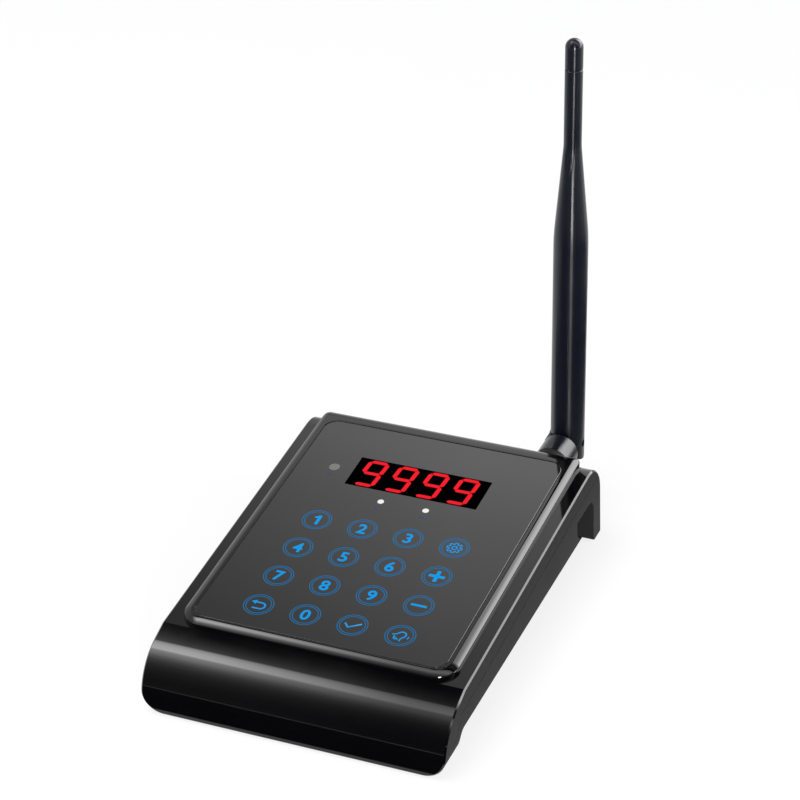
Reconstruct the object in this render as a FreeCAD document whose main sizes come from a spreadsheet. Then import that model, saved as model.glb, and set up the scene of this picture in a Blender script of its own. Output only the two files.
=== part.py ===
import FreeCAD, Part

import math
import os
import re

import Sketcher
from FreeCAD import Vector

# Guest paging transmitter: a counter-top console with a flush touch glass, a four-digit
# display and a folding antenna.  Millimetres, +Z up, +Y to the rear, +X to the right.
# The document's origin is the middle of the object's footprint, on the counter.
#
# Two working frames are used.  "level" has its origin on the counter under the middle of
# the key grid.  "panel" has its origin in the middle of the key grid on the glass, with
# its Y axis up the slope and its Z axis along the glass's normal.

# ---------------------------------------------------------------- driving dimensions
SIZES = {
    # the console's outer form
    "tilt": 3.8,                # slope of the glass, degrees
    "glass_height": 31.9,       # glass above the counter at the middle of the key grid
    "body_width": 121.0,
    "ledge_drop": 3.0,          # ledge round the bezel, below the glass
    "ledge_front": 43.4,        # from the key grid's middle forward to the brow
    "brow_angle": 18.4,         # slope of the brow between the ledge and the nose, degrees
    "nose_front": 65.0,         # from the key grid's middle forward to the nose
    "nose_radius": 20.2,
    "nose_corner": 9.0,         # round lower corners of the nose, seen from the front
    "nose_back": 50.4,          # from the key grid's middle forward to the nose's back
    "nose_fillet": 5.0,
    "underside_height": 11.0,
    "tunnel_front": 74.7,       # cable tunnel between the body and the rear leg
    "tunnel_roof": 21.1,
    "tunnel_fillet": 5.0,
    "tunnel_lip": 6.0,
    "rear_face": 102.2,
    "leg_thickness": 8.5,
    "rear_roll": 13.3,
    "edge_break": 0.6,          # small bevel along the console's outer edges
    "foot_radius": 1.0,         # rounding of the leg's and the nose's lower back edges
    "wall": 2.2,
    "floor": 2.4,
    "parting_drop": 10.6,       # parting line between deck and cover, below the glass
    "parting_front": 46.5,
    "nose_skin": 8.0,           # deck's thickness at the nose
    "parting_low": 8.0,         # height at which the parting line turns down the nose
    "seam_gap": 0.2,
    "rear_wall": 6.2,           # from the rear face forward to the inner space
    # raised bezel and touch glass
    "ledge_width": 5.4,         # from the console's side to the bezel
    "bezel_border": 4.6,        # from the bezel's side to the glass
    "bezel_front": 43.3,
    "bezel_rear": 98.6,
    "bezel_corner": 9.0,
    "bezel_rear_corner": 7.0,
    "bezel_crown": 2.6,
    "bezel_roll": 7.4,
    "bezel_rim": 3.2,           # foot of the bezel outside its skirt
    "bezel_flange_depth": 6.5,
    "bezel_flange": 4.0,
    "glass_front": 39.4,
    "glass_rear": 88.9,
    "glass_corner": 5.5,
    "glass_thickness": 2.0,
    "glass_gap": 0.15,
    "adhesive": 0.3,
    "fit_gap": 0.3,             # clearance between parts that sit in each other
    # keys
    "key_step_x": 19.0,
    "key_step_y": 17.86,
    "key_well": 14.0,           # side of each light well
    "key_led": 1.6,
    "key_led_height": 0.7,
    "sensor_film": 0.4,
    "key_field_side": 7.5,      # from the glass's side to the key field
    "key_field_front": 36.5,
    "key_field_rear": 36.5,
    "board": 1.6,
    "key_board_side": 2.5,      # from the glass's side to the key board
    # display and indicators
    "display_middle": 60.3,
    "window_width": 55.2,
    "window_height": 17.9,
    "filter": 0.8,
    "display_width": 50.3,
    "display_height": 19.0,
    "display_depth": 8.0,
    "digit_step": 12.86,
    "digit_height": 16.4,
    "digit_width": 8.8,
    "segment": 1.6,
    "segment_gap": 0.35,
    "segment_depth": 0.6,
    "pin_row": 15.24,
    "pin_step": 2.54,
    "pin": 0.5,
    "lamp_x": 9.39,
    "lamp_drop": 15.5,          # indicators below the display's middle
    "lamp_radius": 1.43,
    "light_sensor_radius": 2.15,
    # main board and what it carries
    "main_board_side": 15.5,    # from the console's side to the board
    "main_board_front": 30.0,
    "main_board_gap": 4.2,      # from the board's rear edge to the tunnel
    "main_board_depth": 13.0,   # its upper face, below the glass
    "post_flats": 5.6,
    "post_inset": 3.5,
    "post_front": 24.0,
    "post_rear": 46.0,
    "board_screw": 1.25,
    "buzzer_radius": 6.0,
    "buzzer_height": 5.5,
    "buzzer_gap": 0.25,
    "buzzer_inset": 9.5,
    "radio_inset": 17.5,
    "radio_y": 26.0,
    "radio_length": 30.0,
    "radio_width": 20.0,
    "can_margin": 2.0,
    "can_height": 2.8,
    "can_wall": 0.3,
    "chip": 12.0,
    "header_x": 24.0,
    "header_y": 24.0,
    "header_length": 25.4,
    "header_width": 5.0,
    "jack_x": 25.0,
    "jack_width": 9.0,
    "jack_height": 7.4,
    "jack_length": 14.0,
    "jack_bore": 2.85,
    "jack_bore_depth": 9.5,
    "jack_pin": 1.0,
    # screws and feet
    "boss_flats": 4.9,
    "boss_gap": 0.25,
    "boss_front": 36.0,
    "boss_rear": 60.0,
    "screw_radius": 1.3,
    "screw_head": 2.3,
    "screw_head_height": 1.2,
    "screw_length": 9.0,
    "foot_length": 18.0,
    "foot_width": 4.0,
    "foot_thickness": 1.3,
    "foot_proud": 0.5,
    "foot_inset": 22.5,
    # antenna
    "antenna_inset": 20.95,     # from the console's right side to the antenna
    "antenna_y": 121.6,         # elbow pivot
    "antenna_z": 26.9,
    "antenna_lean": 4.0,        # the blade as stored, back from upright, degrees
    "seat_face": 102.7,
    "bushing_radius": 3.175,
    "bushing_flange": 4.0,
    "bushing_flange_length": 1.6,
    "bushing_end": 108.6,
    "bushing_hole": 3.3,
    "washer": 0.5,
    "nut_flats": 8.0,
    "nut_thickness": 2.0,
    "base_radius": 7.4,
    "base_front": 102.9,
    "base_rear": 113.3,
    "base_nut_radius": 5.2,
    "base_nut_depth": 3.2,
    "running_clearance": 0.05,
    "blade_radius": 6.85,
    "knuckle_radius": 5.0,
    "knuckle_half": 6.6,        # from the antenna's middle to the knuckle's outer end
    "knuckle_gap": 0.15,
    "neck_height": 3.8,         # top of the neck between the base and the knuckle
    "shoulder": 4.2,            # lower end of the sleeve beside the knuckle
    "shoulder_gap": 0.3,
    "hinge_pin": 1.5,
    "hinge_pin_length": 11.6,
    "blade_taper_start": 98.0,
    "blade_taper_end": 127.0,
    "stem_radius": 3.5,
    "stem_end": 160.0,
    "blade_length": 172.3,
    "cap_groove": 0.4,
    "cap_spigot": 1.6,
    "cap_spigot_length": 5.0,
    "element_radius": 0.9,
    "element_start": 12.0,
    "element_gap": 0.2,
    "coax_radius": 0.9,
}

# ---------------------------------------------------------------- dimensions worked out
FORMULAS = {
    "half_width": "body_width / 2",
    "bezel_width": "body_width - ledge_width * 2",
    "glass_width": "bezel_width - bezel_border * 2",
    "key_field_width": "glass_width - key_field_side * 2",
    "key_board_width": "glass_width - key_board_side * 2",
    "key_board_rear": "lamp_y - lamp_radius * 3",
    "lamp_y": "display_middle - lamp_drop",
    "light_sensor_x": "(window_width + glass_width) / 4 - light_sensor_radius - 1.3",
    "light_sensor_y": "display_middle - 0.3",
    "main_board_width": "body_width - main_board_side * 2",
    "main_board_rear": "tunnel_front - main_board_gap",
    "post_x": "main_board_width / 2 - post_inset",
    "buzzer_x": "display_width / 2 + buzzer_radius + buzzer_gap",
    "buzzer_y": "main_board_rear - buzzer_inset",
    "radio_x": "post_x - radio_inset",
    "boss_x": "inner_half - boss_gap - boss_flats / 2 / cos(30)",
    "foot_x": "half_width - foot_inset",
    "antenna_x": "half_width - antenna_inset",
    "collar_front": "bezel_rear * cos(tilt) + (ledge_drop + rear_roll) * sin(tilt)",
    "frame_shift": "(nose_front - blade_rear) / 2",
    "blade_rear": "antenna_y + (blade_length - stem_radius) * sin(antenna_lean) + stem_radius",
    "ledge_front_z": "glass_height - ledge_front * tan(tilt) - ledge_drop / cos(tilt)",
    "crease_y": "nose_radius * (1 - sin(brow_angle)) - nose_front",
    "crease_z": "ledge_front_z - (-crease_y - ledge_front) * tan(brow_angle)",
    "nose_end_z": "crease_z - nose_radius * cos(brow_angle)",
    "roll_y": "rear_face - rear_roll",
    "roll_z": "glass_height + roll_y * tan(tilt) - (ledge_drop + rear_roll) / cos(tilt)",
    "leg_front": "rear_face - leg_thickness",
    "inner_half": "half_width - wall",
    "inner_front": "ledge_front - 1",
    "inner_rear": "rear_face - rear_wall",
    "floor_top": "underside_height + floor",
    "loft_floor": "tunnel_roof + wall",
    "skin_y": "nose_front - nose_skin",
    "skirt_half": "bezel_width / 2 - bezel_rim",
    "skirt_front": "bezel_front - bezel_rim",
    "skirt_rear": "roll_v - fit_gap",
    "roll_v": "(roll_y + (ledge_drop + rear_roll) * -sin(tilt)) / cos(tilt)",
    "recess_half": "glass_width / 2 + glass_gap",
    "flange_top": "glass_thickness + adhesive",
    "key_board_top": "bezel_flange_depth",
    "key_board_bottom": "bezel_flange_depth + board",
    "main_board_bottom": "main_board_depth + board",
    "display_top": "glass_thickness + filter + 0.1",
    "display_bottom": "display_top + display_depth",
}

NAME = re.compile(r"[a-z][a-z_]*")


def expand(formula):
    """Give a formula in the sheet's own terms, with every worked-out name replaced."""
    def swap(match):
        name = match.group()
        if name in FORMULAS:
            return "(" + expand(FORMULAS[name]) + ")"
        return "Sizes." + name if name in SIZES else name
    return NAME.sub(swap, str(formula))


DOC = FreeCAD.newDocument("guest_pager")
SHEET = DOC.addObject("Spreadsheet::Sheet", "Sizes")
for row, (alias, size) in enumerate(SIZES.items(), start=1):
    SHEET.set("A%d" % row, alias)
    SHEET.set("B%d" % row, str(size))
    SHEET.setAlias("B%d" % row, alias)
DOC.recompute()
PARTS = []


def value(formula):
    """Number that a formula gives with the sheet's sizes."""
    result = SHEET.evalExpression(expand(formula).replace("Sizes.", ""))
    return float(getattr(result, "Value", result))


# ---------------------------------------------------------------- bodies and sketches
def register(part, label):
    """Give a sub-part its name and list it for export."""
    part.Label = label
    PARTS.append(part)
    return part


def place(part, frame, x="0", y="0", z="0"):
    """Bind a sub-part's Placement to the level, panel or blade frame, moved by x, y, z."""
    part.setExpression("Placement.Base.x", expand(x))
    if frame == "level":
        part.setExpression("Placement.Base.y", expand("frame_shift + (%s)" % y))
        part.setExpression("Placement.Base.z", expand(z))
        return
    part.Placement = FreeCAD.Placement(Vector(), FreeCAD.Rotation(Vector(1, 0, 0), 1))
    if frame == "panel":
        part.setExpression("Placement.Base.y", expand("frame_shift"))
        part.setExpression("Placement.Base.z", expand("glass_height"))
        part.setExpression("Placement.Rotation.Angle", expand("tilt"))
        return
    part.Placement = FreeCAD.Placement(Vector(), FreeCAD.Rotation(Vector(-1, 0, 0), 1))
    part.setExpression("Placement.Base.x", expand("antenna_x"))
    part.setExpression("Placement.Base.y", expand("frame_shift + antenna_y"))
    part.setExpression("Placement.Base.z", expand("antenna_z"))
    part.setExpression("Placement.Rotation.Angle", expand("antenna_lean"))


def new_body(label, frame):
    body = DOC.addObject("PartDesign::Body", label)
    body.AllowCompound = True
    place(body, frame)
    return register(body, label)


def new_sketch(body, plane, offset="0"):
    """Sketch on one of the body's origin planes, moved along the plane's normal."""
    role = {"XY": "XY_Plane", "XZ": "XZ_Plane", "YZ": "YZ_Plane"}[plane]
    datum = [item for item in body.Origin.OriginFeatures if item.Role == role][0]
    sketch = body.newObject("Sketcher::SketchObject", body.Name + "_sketch")
    sketch.AttachmentSupport = [(datum, "")]
    sketch.MapMode = "FlatFace"
    sketch.setExpression("AttachmentOffset.Base.z", expand(offset))
    return sketch


def pin_point(sketch, geometry, position, x, y):
    """Hold a sketch point at formulas for its two distances from the sketch's origin."""
    for kind, formula in (("DistanceX", x), ("DistanceY", y)):
        index = sketch.addConstraint(
            Sketcher.Constraint(kind, -1, 1, geometry, position, value(formula)))
        sketch.setExpression(".Constraints[%d]" % index, expand(formula))


def arc_through(start, end, radius, left):
    """Arc of less than a half turn from start to end; left turns anticlockwise."""
    chord = end - start
    middle = (start + end) * 0.5
    side = Vector(-chord.y, chord.x, 0)
    side.normalize()
    reach = math.sqrt(max(radius ** 2 - (chord.Length / 2) ** 2, 0.0))
    centre = middle + side * (reach if left else -reach)
    first, last = (start, end) if left else (end, start)
    angles = [math.atan2(p.y - centre.y, p.x - centre.x) for p in (first, last)]
    return Part.ArcOfCircle(Part.Circle(centre, Vector(0, 0, 1), radius), angles[0], angles[1])


def outline(sketch, points):
    """Closed outline.  A point is (x, y), or (x, y, radius, "left" or "right") where the
    stretch that leads from it to the next point is an arc."""
    places = [Vector(value(p[0]), value(p[1]), 0) for p in points]
    ends = []
    for index, point in enumerate(points):
        start, end = places[index], places[(index + 1) % len(points)]
        if len(point) == 2:
            geometry = sketch.addGeometry(Part.LineSegment(start, end), False)
            ends.append((geometry, 1, 2))
            continue
        left = point[3] == "left"
        arc = arc_through(start, end, value(point[2]), left)
        geometry = sketch.addGeometry(arc, False)
        ends.append((geometry, 1, 2) if left else (geometry, 2, 1))
        radius = sketch.addConstraint(
            Sketcher.Constraint("Radius", geometry, value(point[2])))
        sketch.setExpression(".Constraints[%d]" % radius, expand(point[2]))
    for index, point in enumerate(points):
        geometry, first, _ = ends[index]
        before, _, last = ends[index - 1]
        sketch.addConstraint(Sketcher.Constraint("Coincident", before, last, geometry, first))
        pin_point(sketch, geometry, first, point[0], point[1])


def rectangle(sketch, x_low, x_high, y_low, y_high):
    outline(sketch, [(x_low, y_low), (x_high, y_low), (x_high, y_high), (x_low, y_high)])


def rounded_rectangle(sketch, x_low, x_high, y_low, y_high, radius):
    """Rectangle with round corners, drawn anticlockwise."""
    r = "(%s)" % radius
    x0, x1, y0, y1 = ("(%s)" % edge for edge in (x_low, x_high, y_low, y_high))
    outline(sketch, [
        (x0 + "+" + r, y0), (x1 + "-" + r, y0, r, "left"),
        (x1, y0 + "+" + r), (x1, y1 + "-" + r, r, "left"),
        (x1 + "-" + r, y1), (x0 + "+" + r, y1, r, "left"),
        (x0, y1 + "-" + r), (x0, y0 + "+" + r, r, "left")])


def circle(sketch, x, y, radius):
    centre = Vector(value(x), value(y), 0)
    geometry = sketch.addGeometry(Part.Circle(centre, Vector(0, 0, 1), value(radius)), False)
    index = sketch.addConstraint(Sketcher.Constraint("Radius", geometry, value(radius)))
    sketch.setExpression(".Constraints[%d]" % index, expand(radius))
    pin_point(sketch, geometry, 3, x, y)


def hexagon(sketch, x, y, flats):
    """Hexagon with two flats level, given its width across flats."""
    reach = "(%s) / 2 / cos(30)" % flats
    outline(sketch, [("(%s) + %s * cos(%d)" % (x, reach, 60 * k),
                      "(%s) + %s * sin(%d)" % (y, reach, 60 * k)) for k in range(6)])


# ---------------------------------------------------------------- features
def extrude(kind, body, sketch, length, against=False):
    """Pad or Pocket by a length; against runs it against the sketch's normal for a Pad and
    along it for a Pocket."""
    feature = body.newObject("PartDesign::" + kind, body.Name + "_" + kind.lower())
    feature.Profile = sketch
    feature.Reversed = against
    feature.setExpression("Length", expand(length))
    body.Tip = feature
    DOC.recompute()
    return feature


def pad(body, sketch, length, against=False):
    return extrude("Pad", body, sketch, length, against)


def pocket(body, sketch, length, against=False):
    """Pocket that has to take material away."""
    before = body.Shape.Volume
    feature = extrude("Pocket", body, sketch, length, against)
    if body.Shape.Volume > before - 1e-6:
        raise RuntimeError("%s cuts nothing" % feature.Name)
    return feature


def revolve(body, sketch, kind="Revolution"):
    """Revolution or Groove about the sketch's vertical axis."""
    feature = body.newObject("PartDesign::" + kind, body.Name + "_" + kind.lower())
    feature.Profile = sketch
    feature.ReferenceAxis = (sketch, ["V_Axis"])
    feature.Angle = 360
    body.Tip = feature
    DOC.recompute()
    return feature


def fillet(body, radius, chosen):
    """Fillet the edges of the body's tip for which chosen(edge) is true."""
    base = body.Tip
    names = ["Edge%d" % (i + 1) for i, edge in enumerate(base.Shape.Edges) if chosen(edge)]
    if not names:
        raise RuntimeError("%s has no edge to round" % body.Name)
    feature = body.newObject("PartDesign::Fillet", body.Name + "_fillet")
    feature.Base = (base, names)
    feature.setExpression("Radius", expand(radius))
    body.Tip = feature
    DOC.recompute()
    return feature


def bevel(body, size, chosen):
    """Bevel the edges of the body's tip for which chosen(edge) is true."""
    base = body.Tip
    names = ["Edge%d" % (i + 1) for i, edge in enumerate(base.Shape.Edges) if chosen(edge)]
    if not names:
        raise RuntimeError("%s has no edge to bevel" % body.Name)
    feature = body.newObject("PartDesign::Chamfer", body.Name + "_bevel")
    feature.Base = (base, names)
    feature.setExpression("Size", expand(size))
    body.Tip = feature
    DOC.recompute()
    return feature


def slab(body, x_low, x_high, y_low, y_high, top, thickness, radius=None):
    """Plate in the body's XY plane: its upper face at height top, going down."""
    sketch = new_sketch(body, "XY", top)
    if radius is None:
        rectangle(sketch, x_low, x_high, y_low, y_high)
    else:
        rounded_rectangle(sketch, x_low, x_high, y_low, y_high, radius)
    return pad(body, sketch, thickness, against=True)


def line_z(y, drop):
    """Height, in the level frame, of the line at a depth below the glass."""
    return "glass_height + (%s) * tan(tilt) - (%s) / cos(tilt)" % (y, drop)


# ---------------------------------------------------------------- console housing
def outer_form(body):
    """Whole outer form of the console: nose, ledge, rolled rear, leg and underside."""
    sketch = new_sketch(body, "YZ", "-half_width")
    outline(sketch, [
        ("crease_y", "crease_z", "nose_radius", "left"),
        ("-nose_front", "nose_end_z"),
        ("-nose_front", "foot_proud"),
        ("-nose_back - foot_radius", "foot_proud", "foot_radius", "left"),
        ("-nose_back", "foot_proud + foot_radius"),
        ("-nose_back", "underside_height - nose_fillet", "nose_fillet", "right"),
        ("-nose_back + nose_fillet", "underside_height"),
        ("tunnel_front + tunnel_lip", "underside_height", "tunnel_lip", "right"),
        ("tunnel_front", "underside_height + tunnel_lip"),
        ("tunnel_front", "tunnel_roof"),
        ("leg_front - tunnel_fillet", "tunnel_roof", "tunnel_fillet", "right"),
        ("leg_front", "tunnel_roof - tunnel_fillet"),
        ("leg_front", "foot_proud + foot_radius", "foot_radius", "left"),
        ("leg_front + foot_radius", "foot_proud"),
        ("rear_face", "foot_proud"),
        ("rear_face", "roll_z", "rear_roll", "left"),
        ("roll_y - rear_roll * sin(tilt)", "roll_z + rear_roll * cos(tilt)"),
        ("-ledge_front", "ledge_front_z"),
    ])
    pad(body, sketch, "body_width")
    corners = new_sketch(body, "XZ", "nose_back - nose_fillet / 2")
    for side in ("", "-"):
        turn = "left" if side else "right"
        outline(corners, [
            (side + "(half_width - nose_corner)", "foot_proud", "nose_corner",
             "left" if not side else "right"),
            (side + "half_width", "foot_proud + nose_corner"),
            (side + "(half_width + 5)", "foot_proud + nose_corner"),
            (side + "(half_width + 5)", "foot_proud - 5"),
            (side + "(half_width - nose_corner)", "foot_proud - 5")])
    pocket(body, corners, "nose_front", against=True)
    half = value("half_width")
    low = value("foot_proud")
    front = -value("nose_front")
    back = value("rear_face")

    def rim(edge):
        """Edges where a side, or a round nose corner, meets the outer surface."""
        box = edge.BoundBox
        middle = edge.valueAt((edge.FirstParameter + edge.LastParameter) / 2)
        on_side = abs(abs(box.XMin) - half) < 1e-4 and box.XLength < 1e-4
        above = middle.z > value(line_z(middle.y, "parting_drop")) or middle.y < -50
        outer = above or abs(middle.y - back) < 1e-4
        in_front = box.YLength < 1e-4 and abs(box.YMin - front) < 1e-4
        behind = box.YMin > -value("nose_back") - 1e-3 and middle.y < 0 and middle.z < low + 20
        return (on_side and outer and not behind) or in_front
    bevel(body, "edge_break", rim)


def parting_region(sketch, shift, above):
    """Outline of all that lies above or below the parting line, moved down by shift."""
    line = "parting_drop + %s" % shift
    knee = "parting_low - %s" % shift
    skin = "-skin_y + %s" % shift
    far = "rear_face + 20"
    run = [
        (far, line_z(far, line)),
        ("-parting_front", line_z("-parting_front", line)),
        (skin, knee),
        (skin, "-20")]
    if above:
        run += [("-nose_front - 20", "-20"), ("-nose_front - 20", "glass_height + 40"),
                (far, "glass_height + 40")]
    else:
        run += [(far, "-20")]
    outline(sketch, run)


def deck_shell():
    """Glossy upper shell: ledge, rolled rear and nose, down to the parting line."""
    body = new_body("deck_shell", "level")
    outer_form(body)
    below = new_sketch(body, "YZ", "-half_width - 1")
    parting_region(below, "0", above=False)
    pocket(body, below, "body_width + 2", against=True)
    inside = new_sketch(body, "YZ", "-inner_half")
    under = "ledge_drop + wall"
    outline(inside, [
        ("-inner_front", "parting_low"),
        ("inner_rear", "parting_low"),
        ("inner_rear", "roll_z + sqrt((rear_roll - wall)^2 - (inner_rear - roll_y)^2)",
         "rear_roll - wall", "left"),
        ("roll_y - (rear_roll - wall) * sin(tilt)", "roll_z + (rear_roll - wall) * cos(tilt)"),
        ("-inner_front", line_z("-inner_front", under))])
    pocket(body, inside, "inner_half * 2", against=True)
    window = new_sketch(body, "XY", "glass_height + 30")
    rounded_rectangle(window, "-skirt_half - fit_gap", "skirt_half + fit_gap",
                      "-(skirt_front + fit_gap) * cos(tilt)",
                      "skirt_rear * cos(tilt) + (ledge_drop + wall) * sin(tilt)",
                      "bezel_corner - bezel_rim")
    pocket(body, window, "30 + parting_drop")
    for y in ("-boss_front", "boss_rear"):
        bosses = new_sketch(body, "XY", "floor_top")
        for x in ("-boss_x", "boss_x"):
            hexagon(bosses, x, y, "boss_flats")
        pad(body, bosses, line_z(y, "ledge_drop + wall / 2") + " - (floor_top)")
    holes = new_sketch(body, "XY", "floor_top")
    for x in ("-boss_x", "boss_x"):
        for y in ("-boss_front", "boss_rear"):
            hexagon(holes, x, y, "screw_radius * 2")
    pocket(body, holes, "screw_length", against=True)
    antenna_notch(body)
    return body


def antenna_notch(body):
    """Round notches in the deck's rear edge for the bushing and the cover's collar."""
    notch = new_sketch(body, "XZ", "-inner_rear + 2")
    circle(notch, "antenna_x", "antenna_z", "bushing_flange + fit_gap")
    pocket(body, notch, "collar_front - seam_gap - inner_rear + 2.1")
    notch = new_sketch(body, "XZ", "-collar_front + seam_gap")
    circle(notch, "antenna_x", "antenna_z", "base_radius + seam_gap")
    pocket(body, notch, "rear_wall + 10")


def antenna_collar(body):
    """Collar on the cover's rear wall, with the bushing's hole and room for its flange."""
    collar = new_sketch(body, "XZ", "-seat_face")
    circle(collar, "antenna_x", "antenna_z", "base_radius")
    pad(body, collar, "seat_face - collar_front")
    hole = new_sketch(body, "XZ", "-seat_face - 1")
    circle(hole, "antenna_x", "antenna_z", "bushing_hole")
    pocket(body, hole, "seat_face - inner_rear + 3", against=True)
    bore = new_sketch(body, "XZ", "-inner_rear")
    circle(bore, "antenna_x", "antenna_z", "bushing_flange + fit_gap")
    pocket(body, bore, "4", against=True)


def bottom_cover():
    """Lower shell: side walls, underside, cable tunnel and rear leg."""
    body = new_body("bottom_cover", "level")
    outer_form(body)
    above = new_sketch(body, "YZ", "-half_width - 1")
    parting_region(above, "seam_gap", above=True)
    pocket(body, above, "body_width + 2", against=True)
    inside = new_sketch(body, "YZ", "-inner_half")
    outline(inside, [
        ("-inner_front", "floor_top"),
        ("tunnel_front - wall", "floor_top"),
        ("tunnel_front - wall", "loft_floor"),
        ("inner_rear", "loft_floor"),
        ("inner_rear", "glass_height + 10"),
        ("-inner_front", "glass_height + 10")])
    pocket(body, inside, "inner_half * 2", against=True)
    posts(body)
    holes = new_sketch(body, "XY", "underside_height - 1")
    for x in ("-boss_x", "boss_x"):
        for y in ("-boss_front", "boss_rear"):
            hexagon(holes, x, y, "screw_radius * 2 + 0.4")
    pocket(body, holes, "floor + 2", against=True)
    sinks = new_sketch(body, "XY", "underside_height - 1")
    for x in ("-boss_x", "boss_x"):
        for y in ("-boss_front", "boss_rear"):
            circle(sinks, x, y, "screw_head + 0.2")
    pocket(body, sinks, "1 + screw_head_height", against=True)
    mouth = new_sketch(body, "XZ", "-tunnel_front - 1")
    rectangle(mouth, "-jack_x - jack_width / 2 - 0.1", "-jack_x + jack_width / 2 + 0.1",
              "floor_top - 0.1", "floor_top + jack_height + 0.1")
    pocket(body, mouth, "wall + 2", against=True)
    feet = new_sketch(body, "XY", "foot_proud - 1")
    for x in ("-foot_x", "foot_x"):
        for y in ("nose_foot_y", "leg_foot_y"):
            foot_outline(feet, x, y, "0.1")
    pocket(body, feet, "1 + foot_thickness - foot_proud", against=True)
    antenna_collar(body)
    return body


FORMULAS["nose_foot_y"] = "-(nose_back + skin_y + foot_radius - seam_gap) / 2"
FORMULAS["leg_foot_y"] = "(leg_front + rear_face) / 2"


def posts(body):
    """Posts on the floor that carry the main board, cut square to its slope."""
    for y in ("-post_front", "post_rear"):
        post = new_sketch(body, "XY", "floor_top - floor / 2")
        for x in ("-post_x", "post_x"):
            hexagon(post, x, y, "post_flats")
        pad(body, post, line_z(y, "main_board_bottom") + " - floor_top + floor / 2 + post_flats")
    trim = new_sketch(body, "YZ", "-post_x - post_flats - 1")
    outline(trim, [
        ("-main_board_front - 5", line_z("-main_board_front - 5", "main_board_bottom")),
        ("post_rear + 10", line_z("post_rear + 10", "main_board_bottom")),
        ("post_rear + 10", "glass_height + 10"),
        ("-main_board_front - 5", "glass_height + 10")])
    pocket(body, trim, "(post_x + post_flats + 1) * 2", against=True)
    holes = new_sketch(body, "XY", "floor_top + 0.5")
    for y in ("-post_front", "post_rear"):
        for x in ("-post_x", "post_x"):
            hexagon(holes, x, y, "board_screw * 2")
    pocket(body, holes, "glass_height", against=True)


def foot_outline(sketch, x, y, grow):
    """Outline of a rubber foot strip, grown all round."""
    half_length = "(foot_length / 2 + %s)" % grow
    half_wide = "(foot_width / 2 + %s)" % grow
    rectangle(sketch, x + " - " + half_length, x + " + " + half_length,
              y + " - " + half_wide, y + " + " + half_wide)


def rubber_feet():
    body = new_body("rubber_feet", "level")
    feet = new_sketch(body, "XY")
    for x in ("-foot_x", "foot_x"):
        for y in ("nose_foot_y", "leg_foot_y"):
            foot_outline(feet, x, y, "0")
    pad(body, feet, "foot_thickness")
    return body


def housing_screws():
    """Four pan-head screws driven up through the cover into the deck's bosses."""
    body = new_body("housing_screws", "level")
    heads = new_sketch(body, "XY", "underside_height")
    shanks = new_sketch(body, "XY", "underside_height")
    for x in ("-boss_x", "boss_x"):
        for y in ("-boss_front", "boss_rear"):
            circle(heads, x, y, "screw_head")
            hexagon(shanks, x, y, "screw_radius * 2 - 0.1")
    pad(body, heads, "screw_head_height")
    pad(body, shanks, "screw_length")
    return body


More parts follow.
